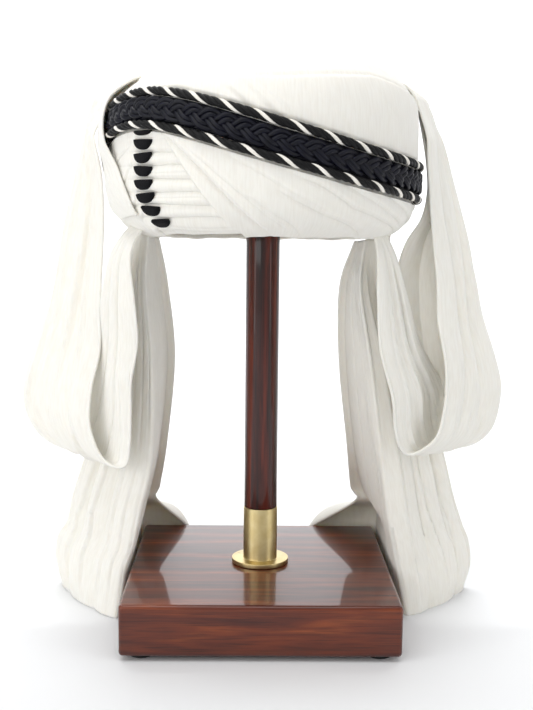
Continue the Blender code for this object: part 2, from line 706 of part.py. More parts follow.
def loop(name, way, rows, tuck, material):
    """A band of the turban's cloth that falls from the crown's shoulder, turns, and comes back
    up to the rim; way is -1 on the left and 1 on the right"""
    columns = 8
    spread = [j / columns - 0.5 for j in range(columns + 1)]
    top = on_turban(0, walk_at(0, LOOP_START)).z
    sections = []
    for walk_share, lift in LOOP_ROOTS:
        section = []
        for s in spread:
            turn = LOOP_TURN + LOOP_SPREAD * s
            turn = turn if way > 0 else 180 - turn
            walk = walk_at(turn, walk_share)
            section.append(on_turban(turn, walk, LAY_GAP + CLOTH_THICKNESS / 2 + lift))
        sections.append(section)
    for drop, out, deep, width, splay, tilt, fold in rows:
        angle = math.radians(splay)
        centre = Vector((way * (HALF_WIDTH + out * LOOP_REACH), deep * LOOP_WIDTH,
                         top - drop * LOOP_DROP))
        run = Vector((way * math.sin(angle), math.cos(angle), 0.0))
        off = Vector((way * math.cos(angle), -math.sin(angle), 0.0))
        section = []
        for s in spread:
            ripple = fold * LOOP_FOLD_DEPTH * math.sin(math.tau * LOOP_FOLD_COUNT * (s + 0.5))
            section.append(centre + run * s * width * LOOP_WIDTH + off * ripple
                           + Vector((0, 0, tilt * s * LOOP_WIDTH)))
        sections.append(section)
    angle = math.radians(tuck["splay"])
    section = []
    for s in spread:
        x = way * (HALF_WIDTH + tuck["out"] * LOOP_REACH + math.sin(angle) * s * tuck["width"] * LOOP_WIDTH)
        y = tuck["deep"] * LOOP_WIDTH + math.cos(angle) * s * tuck["width"] * LOOP_WIDTH
        section.append(Vector((x, y, under_rim(x, y) - TUCK_GAP)))
    sections.append(section)
    flat = [[value for point in section for value in point] for section in sections]
    grid = smooth_rows(flat, 25).reshape(25, columns + 1, 3)
    thick_sheet(name, grid, material)


def tail_section(way, row, steps_in, steps_out):
    """Plan of a tail at one level: the inner flank, the fold in front, then the outer flank"""
    level, out, deep, outer_run, splay, inner_run, hook_run, lean, ripple = row
    half_x = float(np.interp(level, (0, 1, 2), (BASE_SIDE / 2, BASE_SIDE / 2, HALF_WIDTH)))
    half_y = float(np.interp(level, (0, 1, 2), (BASE_SIDE / 2, BASE_SIDE / 2, HALF_DEPTH)))
    start = np.array([way * out * half_x, deep * half_y])
    corner = np.array([way, 1.0]) * (BASE_SIDE / 2 + CORNER_GAP)
    end = corner
    if level > 1:
        angle = math.radians(-lean)
        run = np.array([way * math.sin(angle), math.cos(angle)])
        end = start + inner_run * np.linalg.norm(corner - start) * run
    inner = [start + (end - start) * k / steps_in for k in range(1, steps_in + 1)]
    for heading in HOOK_HEADINGS:
        angle = math.radians(heading)
        step = hook_run * TAIL_REACH / len(HOOK_HEADINGS)
        inner.append(inner[-1] + step * np.array([way * math.sin(angle), math.cos(angle)]))
    outer, place = [], start.copy()
    step = outer_run * TAIL_REACH / steps_out
    for k in range(steps_out):
        share = (k + 0.5) / steps_out
        angle = math.radians(splay + OUTER_BULGE * (1 - 2 * share))
        place = place + step * np.array([way * math.sin(angle), math.cos(angle)])
        wave = ripple * RIPPLE_DEPTH * math.sin(math.tau * RIPPLE_COUNT * (k + 1) / steps_out)
        outer.append(place + wave * np.array([way * math.cos(angle), -math.sin(angle)]))
    return inner[::-1] + [start] + outer


def tail(name, way, rows, material):
    """A hanging end of the turban's cloth, folded in front, that spreads on the floor beside
    the base and curls round the base's back corner"""
    crest = BASE_TOP + CURL_RISE
    steps_in, steps_out = 5, 8
    rim_plan = tail_section(way, rows[0], steps_in, steps_out)
    sections = []
    for row in rows:
        plan = tail_section(way, row, steps_in, steps_out)
        section = []
        for (x, y), (rim_x, rim_y) in zip(plan, rim_plan):
            top = under_rim(rim_x, rim_y) - LAY_GAP
            z = float(np.interp(row[0], (0, 1, 2), (FLOOR_GAP, crest, top)))
            section += [x, y, z]
        sections.append(section)
    count = 19
    grid = smooth_rows(sections, count).reshape(count, len(rim_plan), 3)
    thick_sheet(name, grid, material)


def stand(wood, brass, rubber):
    """Base, feet, collar, post and the hidden disc that carries the turban"""
    mesh = bpy.data.meshes.new("base_block")
    work = bmesh.new()
    bmesh.ops.create_cube(work, size=1.0)
    bmesh.ops.scale(work, vec=(BASE_SIDE, BASE_SIDE, BASE_HEIGHT), verts=work.verts)
    bmesh.ops.translate(work, vec=(0, 0, BASE_BOTTOM + BASE_HEIGHT / 2), verts=work.verts)
    work.to_mesh(mesh)
    work.free()
    block = add_object("base_block", mesh, wood, smooth=False)
    ease = block.modifiers.new("eased edges", "BEVEL")
    ease.width = BASE_EASE
    ease.segments = 3
    reach = BASE_SIDE / 2 - FOOT_INSET
    for name, x, y in (("foot_front_left", -reach, -reach), ("foot_front_right", reach, -reach),
                       ("foot_back_left", -reach, reach), ("foot_back_right", reach, reach)):
        foot = turned(name, [(0, 0), (FOOT_RADIUS * 0.85, 0), (FOOT_RADIUS, FOOT_HEIGHT * 0.3),
                             (FOOT_RADIUS, FOOT_HEIGHT), (0, FOOT_HEIGHT)], 12, rubber)
        foot.location = (x, y, 0)
    bore = COLLAR_RADIUS - COLLAR_WALL
    socket = COLLAR_TOP - TENON_LENGTH
    turned("collar", [(0, COLLAR_BOTTOM), (FLANGE_RADIUS, COLLAR_BOTTOM),
                      (FLANGE_RADIUS, COLLAR_BOTTOM + FLANGE_HEIGHT * 0.8),
                      (FLANGE_RADIUS - FLANGE_HEIGHT * 0.2, COLLAR_BOTTOM + FLANGE_HEIGHT),
                      (COLLAR_RADIUS, COLLAR_BOTTOM + FLANGE_HEIGHT), (COLLAR_RADIUS, COLLAR_TOP),
                      (bore, COLLAR_TOP), (bore, socket), (0, socket)], 28, brass)
    tenon = bore - SEAT_GAP
    turned("post", [(0, socket + SEAT_GAP), (tenon, socket + SEAT_GAP),
                    (tenon, COLLAR_TOP + SEAT_GAP), (POST_RADIUS, COLLAR_TOP + SEAT_GAP),
                    (POST_RADIUS, POST_TOP), (0, POST_TOP)], 24, wood)
    dome = [(REST_RADIUS * out, REST_TOP - REST_DOME * down) for out, down in REST_PROFILE]
    turned("head_rest", [(0, POST_TOP + SEAT_GAP), (REST_RADIUS, POST_TOP + SEAT_GAP)] + dome
           + [(0, REST_TOP)], 20, wood)


def main():
    clear_scene()
    wood = finish("varnished hardwood", (0.13, 0.028, 0.014), 0.22)
    brass = finish("brushed brass", (0.72, 0.52, 0.20), 0.32, 1.0)
    rubber = finish("black rubber", (0.02, 0.02, 0.02), 0.7)
    cotton = finish("white cotton muslin", (0.86, 0.85, 0.81), 0.85)
    plait = finish("black plaited cotton", (0.010, 0.011, 0.020), 0.6)
    twist = finish("black and white twisted cord", (0.10, 0.10, 0.11), 0.65)
    tab = finish("black felt", (0.008, 0.008, 0.010), 0.8)
    stand(wood, brass, rubber)
    wound_crown(cotton)
    front_layers(cotton)
    plaited_band(plait, twist)
    petals(tab)
    side_wrap(cotton)
    loop("left_loop", -1, LEFT_LOOP, LEFT_TUCK, cotton)
    loop("right_loop", 1, RIGHT_LOOP, RIGHT_TUCK, cotton)
    tail("left_tail", -1, LEFT_TAIL, cotton)
    tail("right_tail", 1, RIGHT_TAIL, cotton)


main()
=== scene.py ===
# %% [markdown]
# A tied white cotton turban on a hardwood display stand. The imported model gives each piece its
# size and place. This script dresses it: turned wood and brass, folded muslin, a satin plait,
# twisted cords and felt tabs. We start by loading that model, and by putting nothing in the
# selection, because an operator acts on all that is selected.
# %% Load the frame
import json
import math

import bmesh
import bpy
import numpy as np
from mathutils import Matrix, Vector

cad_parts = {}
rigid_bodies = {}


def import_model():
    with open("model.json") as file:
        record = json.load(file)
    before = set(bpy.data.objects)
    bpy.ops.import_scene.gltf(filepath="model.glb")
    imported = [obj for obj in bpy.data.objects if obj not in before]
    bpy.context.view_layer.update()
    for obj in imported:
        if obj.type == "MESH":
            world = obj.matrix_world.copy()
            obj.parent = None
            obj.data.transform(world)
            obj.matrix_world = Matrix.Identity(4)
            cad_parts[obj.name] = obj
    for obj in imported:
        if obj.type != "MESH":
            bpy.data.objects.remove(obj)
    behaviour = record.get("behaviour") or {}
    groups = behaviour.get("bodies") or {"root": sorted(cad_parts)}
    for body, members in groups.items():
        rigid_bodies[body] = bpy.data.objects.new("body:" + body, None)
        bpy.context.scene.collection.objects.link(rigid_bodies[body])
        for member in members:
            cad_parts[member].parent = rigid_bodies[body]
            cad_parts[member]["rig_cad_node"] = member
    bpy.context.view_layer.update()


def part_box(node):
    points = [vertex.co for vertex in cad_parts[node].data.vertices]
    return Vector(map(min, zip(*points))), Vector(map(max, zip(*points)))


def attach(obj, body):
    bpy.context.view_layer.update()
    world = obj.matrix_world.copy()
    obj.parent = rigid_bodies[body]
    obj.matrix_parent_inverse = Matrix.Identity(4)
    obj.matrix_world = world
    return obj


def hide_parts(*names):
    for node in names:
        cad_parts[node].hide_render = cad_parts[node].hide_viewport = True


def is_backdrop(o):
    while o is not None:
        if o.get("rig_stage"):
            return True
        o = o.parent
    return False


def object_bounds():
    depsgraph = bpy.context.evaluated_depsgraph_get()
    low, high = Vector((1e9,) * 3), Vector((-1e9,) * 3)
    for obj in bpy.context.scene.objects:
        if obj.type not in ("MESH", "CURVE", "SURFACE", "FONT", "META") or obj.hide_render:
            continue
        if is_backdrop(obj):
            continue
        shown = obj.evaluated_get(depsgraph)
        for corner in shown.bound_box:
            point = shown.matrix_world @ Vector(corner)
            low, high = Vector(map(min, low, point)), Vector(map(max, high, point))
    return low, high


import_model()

bpy.ops.object.select_all(action="DESELECT")

# %% [markdown]
# The photograph was taken from about the height of the turban's rim, a little to the left and
# tilted down by 7.5 degrees, with a long lens. A camera can be aimed with a constraint, but a
# matrix is plainer: its columns are the camera's right, its up, and the way back to the lens.
# %% Camera
FOCAL_PIXELS = 1088.2
IMAGE_HEIGHT = 710
SENSOR = 36.0
CAMERA_PLACE = Vector((-0.00956, -0.84267, 0.31974))
CAMERA_RIGHT = Vector((0.99985, -0.01413, 0.01044))
CAMERA_UP = Vector((-0.00849, 0.13136, 0.99130))

camera_data = bpy.data.cameras.new("camera")
camera_data.sensor_width = SENSOR
camera_data.lens = FOCAL_PIXELS * SENSOR / IMAGE_HEIGHT
camera_data.clip_start = 0.05
camera_data.clip_end = 20
camera = bpy.data.objects.new("camera", camera_data)
bpy.context.scene.collection.objects.link(camera)
back = CAMERA_RIGHT.cross(CAMERA_UP)
columns = Matrix((CAMERA_RIGHT, CAMERA_UP, back)).transposed()
camera.matrix_world = Matrix.Translation(CAMERA_PLACE) @ columns.to_4x4()
bpy.context.scene.camera = camera
print("lens", round(camera_data.lens, 2), "mm")

# %% [markdown]
# Every material below is a small graph of nodes. One function adds a node, sets what it is
# told and links what it is given, so that a graph reads from the first line to the last.
# Colours are written as the eye sees them, in sRGB hex, and turned to linear light once. All
# of them end alike, in a colour and in fine dents, so one function ends them.
# %% Colours and nodes
def linear(code):
    """Linear red, green, blue and alpha of an sRGB hex colour"""
    parts = [int(code[k:k + 2], 16) / 255 for k in (1, 3, 5)]
    return [p / 12.92 if p <= 0.04045 else ((p + 0.055) / 1.055) ** 2.4 for p in parts] + [1.0]


def add_node(tree, kind, sockets=None, **settings):
    """Add a node; a socket is given a value, or the output of another node"""
    made = tree.nodes.new(kind)
    for name, value in settings.items():
        setattr(made, name, value)
    for socket, value in (sockets or {}).items():
        if isinstance(value, bpy.types.NodeSocket):
            tree.links.new(value, made.inputs[socket])
        else:
            made.inputs[socket].default_value = value
    return made


def start_material(name, **values):
    """A material, its tree and its shader, with the shader's own values set"""
    material = bpy.data.materials.new(name)
    material.use_nodes = True
    tree = material.node_tree
    shader = tree.nodes["Principled BSDF"]
    for socket, value in values.items():
        shader.inputs[socket.replace("_", " ")].default_value = value
    return material, tree, shader


def ramp(tree, factor, stops):
    """A colour ramp through (place, hex colour) stops"""
    made = add_node(tree, "ShaderNodeValToRGB", {"Fac": factor})
    line = made.color_ramp.elements
    for k, (place, code) in enumerate(stops):
        stop = line[k] if k < 2 else line.new(place)
        stop.position = place
        stop.color = linear(code)
    return made.outputs["Color"]


def bands(period):
    """Scale of a wave texture whose bands are that many metres apart"""
    return math.pi / 10 / period


def surface(material, tree, shader, colour, height, strength, distance, under=None):
    """End a material: its colour, and its dents from a height, over other dents if given"""
    sockets = {"Height": height, "Strength": strength, "Distance": distance}
    if under is not None:
        sockets["Normal"] = under
    dents = add_node(tree, "ShaderNodeBump", sockets)
    tree.links.new(colour, shader.inputs["Base Color"])
    tree.links.new(dents.outputs[0], shader.inputs["Normal"])
    return material


# %% [markdown]
# The stand is mahogany under a gloss varnish: a red-brown ground with darker growth bands, and
# fine dark pores drawn out along the grain. Noise stretched along one axis gives both. The
# varnish is the shader's coat, smooth over the duller wood. The block's grain runs from side
# to side and the post's runs up it, so one function makes both with its own stretch.
# %% Varnished mahogany
GRAIN_BAND = 0.011
PORE_WIDTH = 0.0009
FIGURE_PER_METRE, PORES_PER_METRE = 7.0, 32.0  # along the grain
# Places of the colour sockets of a Mix node, which has a like-named set for each data type
MIX_A, MIX_B, MIX_RESULT = 6, 7, 2


def varnished_mahogany(name, grain_axis, stops, across=1.0):
    material, tree, shader = start_material(name, Roughness=0.42, Coat_Weight=0.7,
                                            Coat_Roughness=0.07, Specular_IOR_Level=0.2)
    place = add_node(tree, "ShaderNodeTexCoord").outputs["Object"]
    coarse, fine = [across / GRAIN_BAND] * 3, [1 / PORE_WIDTH] * 3
    coarse[grain_axis] = FIGURE_PER_METRE
    fine[grain_axis] = PORES_PER_METRE
    bandwise = add_node(tree, "ShaderNodeMapping", {"Vector": place, "Scale": coarse})
    figure = add_node(tree, "ShaderNodeTexNoise", {"Vector": bandwise.outputs[0], "Scale": 1.0,
                                                   "Detail": 5.0, "Distortion": 0.6})
    porewise = add_node(tree, "ShaderNodeMapping", {"Vector": place, "Scale": fine})
    pores = add_node(tree, "ShaderNodeTexNoise", {"Vector": porewise.outputs[0], "Scale": 1.0,
                                                  "Detail": 2.0})
    colour = ramp(tree, figure.outputs["Fac"], stops)
    dark = add_node(tree, "ShaderNodeMapRange", {"Value": pores.outputs["Fac"], "From Min": 0.30,
                                                 "From Max": 0.52, "To Min": 0.55, "To Max": 1.0})
    shaded = add_node(tree, "ShaderNodeMix", {"Factor": 1.0}, data_type="RGBA",
                      blend_type="MULTIPLY")
    tree.links.new(colour, shaded.inputs[MIX_A])
    tree.links.new(dark.outputs[0], shaded.inputs[MIX_B])
    return surface(material, tree, shader, shaded.outputs[MIX_RESULT], pores.outputs["Fac"],
                   0.25, 0.00012)


block_wood = varnished_mahogany(
    "varnished mahogany, grain across", 0,
    ((0.28, "#2a0a02"), (0.45, "#4a1706"), (0.60, "#68280a"), (0.76, "#8a4014")))
post_wood = varnished_mahogany(
    "varnished mahogany, grain upright", 2,
    ((0.30, "#1a0502"), (0.46, "#340d06"), (0.60, "#561b0c"), (0.76, "#74290f")), across=2.0)
print("woods:", block_wood.name, "and", post_wood.name)

# %% [markdown]
# The collar is brass, turned on a lathe and left satin. The lathe leaves rings a fraction of a
# millimetre apart, too fine to see singly, so they are drawn a little coarser than they are.
# They stretch each highlight along the tube. The feet are moulded rubber, dull and nearly black.
# %% Brass and rubber
TOOL_MARK = 0.0006
TARNISH_PER_METRE = 90.0
GRIT_PER_METRE = 900.0


def turned_brass():
    material, tree, shader = start_material("satin turned brass", Metallic=1.0)
    place = add_node(tree, "ShaderNodeTexCoord").outputs["Object"]
    rings = add_node(tree, "ShaderNodeTexWave", {"Vector": place, "Scale": bands(TOOL_MARK),
                                                 "Distortion": 1.5, "Detail": 1.0},
                     wave_type="BANDS", bands_direction="Z")
    cloud = add_node(tree, "ShaderNodeTexNoise", {"Vector": place, "Scale": TARNISH_PER_METRE,
                                                  "Detail": 3.0})
    colour = ramp(tree, cloud.outputs["Fac"], ((0.3, "#c2ac78"), (0.7, "#d8c796")))
    rough = add_node(tree, "ShaderNodeMapRange", {"Value": cloud.outputs["Fac"], "To Min": 0.24,
                                                  "To Max": 0.36})
    tree.links.new(rough.outputs[0], shader.inputs["Roughness"])
    return surface(material, tree, shader, colour, rings.outputs["Fac"], 0.5, 0.00002)


def moulded_rubber():
    material, tree, shader = start_material("moulded black rubber", Roughness=0.72)
    place = add_node(tree, "ShaderNodeTexCoord").outputs["Object"]
    grit = add_node(tree, "ShaderNodeTexNoise", {"Vector": place, "Scale": GRIT_PER_METRE})
    colour = ramp(tree, grit.outputs["Fac"], ((0.3, "#0c0c0d"), (0.7, "#1a1a1b")))
    return surface(material, tree, shader, colour, grit.outputs["Fac"], 0.4, 0.0001)


brass = turned_brass()
rubber = moulded_rubber()
print("rings", TOOL_MARK * 1000, "mm apart on", brass.name)

# %% [markdown]
# The turban is muslin: plain-woven cotton, soft and matt, with thicker slubs here and there in
# its threads. Its threads are about 0.35 mm apart, finer than a pixel, so they are drawn
# 0.8 mm apart. The weave follows each cloth's own map, which is laid out in metres along and
# across the cloth. A little light goes into cotton and comes out again, so its folds glow.
# %% Cotton muslin
THREAD = 0.0008
SLUB_LENGTH = 0.014
CRUMPLE_WIDTH = 0.014
CRUMPLE_LENGTH = 0.034


def muslin(name, light, dark):
    material, tree, shader = start_material(
        name, Roughness=0.88, Sheen_Weight=0.18, Sheen_Roughness=0.45, Subsurface_Weight=0.22,
        Subsurface_Scale=0.003, Subsurface_Radius=(1.0, 0.86, 0.68))
    cloth = add_node(tree, "ShaderNodeUVMap", uv_map="cloth").outputs[0]
    warp, weft = (add_node(tree, "ShaderNodeTexWave",
                           {"Vector": cloth, "Scale": bands(THREAD), "Distortion": 0.6,
                            "Detail": 1.0}, wave_type="BANDS", bands_direction=way)
                  for way in "XY")
    weave = add_node(tree, "ShaderNodeMath", {0: warp.outputs["Fac"], 1: weft.outputs["Fac"]},
                     operation="MULTIPLY")
    drawn = add_node(tree, "ShaderNodeMapping",
                     {"Vector": cloth, "Scale": (1 / THREAD / 2, 1 / SLUB_LENGTH, 1.0)})
    slubs = add_node(tree, "ShaderNodeTexNoise", {"Vector": drawn.outputs[0], "Scale": 1.0,
                                                  "Detail": 3.0})
    pulled = add_node(tree, "ShaderNodeMapping",
                      {"Vector": cloth, "Scale": (1 / CRUMPLE_WIDTH, 1 / CRUMPLE_LENGTH, 1.0)})
    crumple = add_node(tree, "ShaderNodeTexNoise", {"Vector": pulled.outputs[0], "Scale": 1.0,
                                                    "Detail": 1.5, "Roughness": 0.35,
                                                    "Distortion": 0.6})
    colour = ramp(tree, slubs.outputs["Fac"], ((0.32, dark), (0.62, light)))
    soft = add_node(tree, "ShaderNodeBump", {"Height": crumple.outputs["Fac"], "Strength": 0.4,
                                             "Distance": 0.0015})
    streaks = add_node(tree, "ShaderNodeBump", {"Height": slubs.outputs["Fac"], "Strength": 0.2,
                                                "Distance": 0.0001,
                                                "Normal": soft.outputs[0]})
    return surface(material, tree, shader, colour, weave.outputs[0], 0.5, 0.00012,
                   streaks.outputs[0])


cotton = muslin("white cotton muslin", "#efede6", "#eae7df")
print("threads", THREAD * 1000, "mm apart on", cotton.name)

# %% [markdown]
# The band is plaited from navy-black satin cotton, whose fibres lie along each strand and give
# it a soft shine. The cords beside it are twisted from black yarns and one white one. The tabs
# are black wool felt, matt and a little hairy.
# %% Satin, yarn and felt
FIBRE = 0.0007
FIBRES_PER_METRE = 160.0  # along the strand
FELT_HAIR = 0.0006


def strand_fibre(name, light, dark, roughness, sheen):
    material, tree, shader = start_material(name, Roughness=roughness, Sheen_Weight=sheen,
                                            Sheen_Roughness=0.35, Specular_IOR_Level=0.25)
    cloth = add_node(tree, "ShaderNodeUVMap", uv_map="cloth").outputs[0]
    drawn = add_node(tree, "ShaderNodeMapping",
                     {"Vector": cloth, "Scale": (1 / FIBRE, FIBRES_PER_METRE, 1.0)})
    fibres = add_node(tree, "ShaderNodeTexNoise", {"Vector": drawn.outputs[0], "Scale": 1.0,
                                                   "Detail": 3.0})
    colour = ramp(tree, fibres.outputs["Fac"], ((0.35, dark), (0.68, light)))
    return surface(material, tree, shader, colour, fibres.outputs["Fac"], 0.7, 0.0003)


def wool_felt():
    material, tree, shader = start_material("black wool felt", Roughness=0.9, Sheen_Weight=0.03,
                                            Specular_IOR_Level=0.15)
    place = add_node(tree, "ShaderNodeTexCoord").outputs["Object"]
    hair = add_node(tree, "ShaderNodeTexNoise", {"Vector": place, "Scale": 1 / FELT_HAIR,
                                                 "Detail": 4.0, "Distortion": 1.2})
    colour = ramp(tree, hair.outputs["Fac"], ((0.3, "#040405"), (0.75, "#15151a")))
    return surface(material, tree, shader, colour, hair.outputs["Fac"], 0.6, 0.0004)


navy_satin = strand_fibre("plaited navy satin cotton", "#06081d", "#010105", 0.42, 0.03)
black_yarn = strand_fibre("black cotton yarn", "#08080a", "#020203", 0.55, 0.03)
white_yarn = strand_fibre("white cotton yarn", "#fbf8f2", "#e6e1d6", 0.7, 0.1)
felt = wool_felt()
print("trims:", [m.name for m in (navy_satin, black_yarn, white_yarn, felt)])

# %% [markdown]
# The photograph is a bright studio picture: a pale floor that runs up into a white backdrop. We
# extrude a plane's far edge upwards and bevel the corner into a sweep, as a paper roll hangs.
# Five soft lights do the rest. One is overhead, one stands well back in front, and a tall one
# at each side draws the bright lines down the post. The last lights the backdrop alone, so that
# it turns white. The world's pale grey fills the shadows.
# %% Floor and light
FLOOR_SIZE = 5.0
WALL_HEIGHT = 3.0
SWEEP_RADIUS = 0.9
SWEEP_SEGMENTS = 24
SMOOTH_ANGLE = math.radians(35)
CLOUDS_PER_METRE = 3.0
WORLD_STRENGTH = 0.56
SOFTBOXES = (
    # name, place, target, size, watts
    ("overhead", (-0.15, -0.45, 1.45), (0, 0, 0.25), (1.1, 0.9), 7.5),
    ("left", (-1.2, -0.7, 0.6), (0, 0, 0.25), (0.5, 1.2), 3.2),
    ("right", (1.2, -0.7, 0.6), (0, 0, 0.25), (0.5, 1.2), 2.4),
    ("front", (-1.3, -2.0, 0.9), (0, 0, 0.2), (1.6, 1.2), 12.0),
    ("backdrop", (0.0, 0.9, 2.2), (0, 2.5, 0.8), (2.4, 0.8), 75.0))


def aim(place, target):
    """Rotation that points a light from one place at another"""
    return (Vector(target) - Vector(place)).to_track_quat("-Z", "Y").to_euler()


def softbox(name, place, target, size, watts):
    """A rectangular soft light"""
    lamp = bpy.data.lights.new(name, "AREA")
    lamp.shape = "RECTANGLE"
    lamp.size, lamp.size_y = size
    lamp.energy = watts
    holder = bpy.data.objects.new(name, lamp)
    bpy.context.scene.collection.objects.link(holder)
    holder.location = place
    holder.rotation_euler = aim(place, target)


bpy.ops.mesh.primitive_plane_add(size=FLOOR_SIZE, location=(0, 0, 0))
floor = bpy.context.object
floor.name = "studio_floor"
bpy.ops.object.mode_set(mode="EDIT")
bpy.ops.mesh.select_mode(type="EDGE")
bpy.ops.mesh.select_all(action="DESELECT")
sweep = bmesh.from_edit_mesh(floor.data)
for edge in sweep.edges:
    edge.select_set(all(corner.co.y > 0 for corner in edge.verts))
bmesh.update_edit_mesh(floor.data)
bpy.ops.mesh.extrude_region_move(TRANSFORM_OT_translate={"value": (0, 0, WALL_HEIGHT)})
bpy.ops.object.mode_set(mode="OBJECT")
curve = floor.modifiers.new("sweep", "BEVEL")
curve.width = SWEEP_RADIUS
curve.segments = SWEEP_SEGMENTS
bpy.ops.object.modifier_apply(modifier=curve.name)
bpy.ops.object.shade_smooth_by_angle(angle=SMOOTH_ANGLE)
paper, paper_tree, paper_shader = start_material("pale studio paper", Roughness=0.6)
paper_place = add_node(paper_tree, "ShaderNodeTexCoord").outputs["Object"]
paper_cloud = add_node(paper_tree, "ShaderNodeTexNoise",
                       {"Vector": paper_place, "Scale": CLOUDS_PER_METRE})
paper_colour = ramp(paper_tree, paper_cloud.outputs["Fac"], ((0.3, "#e4e5e7"), (0.7, "#eaebec")))
paper_tree.links.new(paper_colour, paper_shader.inputs["Base Color"])
floor.data.materials.append(paper)
floor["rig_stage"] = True

world = bpy.data.worlds.new("studio")
bpy.context.scene.world = world
world.use_nodes = True
sky = world.node_tree.nodes["Background"]
sky.inputs["Color"].default_value = linear("#fefefe")
sky.inputs["Strength"].default_value = WORLD_STRENGTH
bpy.context.scene.view_settings.view_transform = "Standard"

for row in SOFTBOXES:
    softbox(*row)
print("floor", len(floor.data.polygons), "faces;", len(SOFTBOXES), "soft lights")

# %% [markdown]
# The stand is rigid, so it is modelled with Blender's own tools, as by hand. Three small
# helpers keep that short: one starts a primitive with nothing else selected and bakes its place
# into its mesh, one picks faces by their place, and one gives a finished piece its material and
# its place on the model and hides the model's nodes that it replaces.
# %% Helpers for turned and sawn pieces
def start_piece(name, add, **settings):
    """Add a primitive, alone in the selection, with its place in its mesh"""
    bpy.ops.object.select_all(action="DESELECT")
    add(**settings)
    piece = bpy.context.object
    piece.name = name
    bpy.ops.object.transform_apply(location=True, rotation=True, scale=True)
    return piece


def pick_faces(piece, test):
    """In edit mode, select only the faces whose middle and normal pass a test"""
    bpy.ops.mesh.select_mode(type="FACE")
    bpy.ops.mesh.select_all(action="DESELECT")
    work = bmesh.from_edit_mesh(piece.data)
    for face in work.faces:
        face.select_set(test(face.calc_center_median(), face.normal))
    bmesh.update_edit_mesh(piece.data)


def ease_edges(piece, width, segments):
    """Round every hard edge a little, and shade the piece smooth"""
    soften = piece.modifiers.new("eased edges", "BEVEL")
    soften.width = width
    soften.segments = segments
    soften.limit_method = "ANGLE"
    bpy.ops.object.modifier_apply(modifier=soften.name)
    bpy.ops.object.shade_smooth_by_angle(angle=SMOOTH_ANGLE)


def seat(piece, material, slot_name, *nodes):
    """Give a finished piece its material and its place on the model; slot_name is not used"""
    piece.data.materials.clear()
    for layer in material if isinstance(material, tuple) else (material,):
        piece.data.materials.append(layer)
    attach(piece, "root")
    if nodes:
        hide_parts(*nodes)
    faces = sum(len(p.vertices) - 2 for p in piece.data.polygons)
    print(piece.name, faces, "triangles")
    return piece


def node_size(name):
    """Middle, size and lowest corner of a model's node"""
    low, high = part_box(name)
    return (low + high) / 2, high - low, low


# %% [markdown]
# The base is one square block with all its edges eased by 3 mm. We start from a cube at the
# block's own size and bevel it with eight segments, so that the varnished edge catches the
# light in one clean line.
# %% Base block
BLOCK_EASE, BLOCK_SEGMENTS = 0.003, 8
middle, size, low = node_size("base_block")
block = start_piece("mahogany_block", bpy.ops.mesh.primitive_cube_add, size=1.0,
                    location=middle, scale=size)
ease_edges(block, BLOCK_EASE, BLOCK_SEGMENTS)
seat(block, block_wood, "hardwood", "base_block")

# %% [markdown]
# Four moulded feet keep the block off the table. One is made and copied, each copy with its
# own mesh: a short cylinder whose lower face is inset and pushed up a little, as a pad is.
# %% Rubber feet
FOOT_EDGE = 0.0007
FOOT_DISH = 0.0004
for corner in ("front_left", "front_right", "back_left", "back_right"):
    middle, size, low = node_size("foot_" + corner)
    foot = start_piece("rubber_foot_" + corner, bpy.ops.mesh.primitive_cylinder_add,
                       vertices=48, radius=size.x / 2, depth=size.z, location=middle)
    bpy.ops.object.mode_set(mode="EDIT")
    pick_faces(foot, lambda place, normal: normal.z < -0.9)
    bpy.ops.mesh.inset(thickness=size.x / 5)
    bpy.ops.transform.translate(value=(0, 0, FOOT_DISH))
    bpy.ops.object.mode_set(mode="OBJECT")
    ease_edges(foot, FOOT_EDGE, 3)
    seat(foot, rubber, "feet", "foot_" + corner)

# %% [markdown]
# The collar is one turned piece: a flange that sits on the block, and a tube that holds the
# post. A disc gives the flange. Its top face is inset to the tube's width and drawn up, then
# inset by the tube's wall and pushed down to the bottom of the socket.
# %% Brass collar
FLANGE_HEIGHT = 0.0035
TUBE_RADIUS = 0.0134
TUBE_WALL = 0.0016
SOCKET_DEPTH = 0.030
BRASS_EDGE = 0.00045
middle, size, low = node_size("collar")
flange_radius = size.x / 2
collar = start_piece("brass_collar", bpy.ops.mesh.primitive_cylinder_add, vertices=128,
                     radius=flange_radius, depth=FLANGE_HEIGHT,
                     location=(middle.x, middle.y, low.z + FLANGE_HEIGHT / 2))
bpy.ops.object.mode_set(mode="EDIT")
pick_faces(collar, lambda place, normal: normal.z > 0.9)
bpy.ops.mesh.inset(thickness=flange_radius - TUBE_RADIUS)
bpy.ops.mesh.extrude_region_move(
    TRANSFORM_OT_translate={"value": (0, 0, size.z - FLANGE_HEIGHT)})
bpy.ops.mesh.inset(thickness=TUBE_WALL)
bpy.ops.mesh.extrude_region_move(TRANSFORM_OT_translate={"value": (0, 0, -SOCKET_DEPTH)})
bpy.ops.object.mode_set(mode="OBJECT")
ease_edges(collar, BRASS_EDGE, 4)
seat(collar, brass, "brass", "collar")

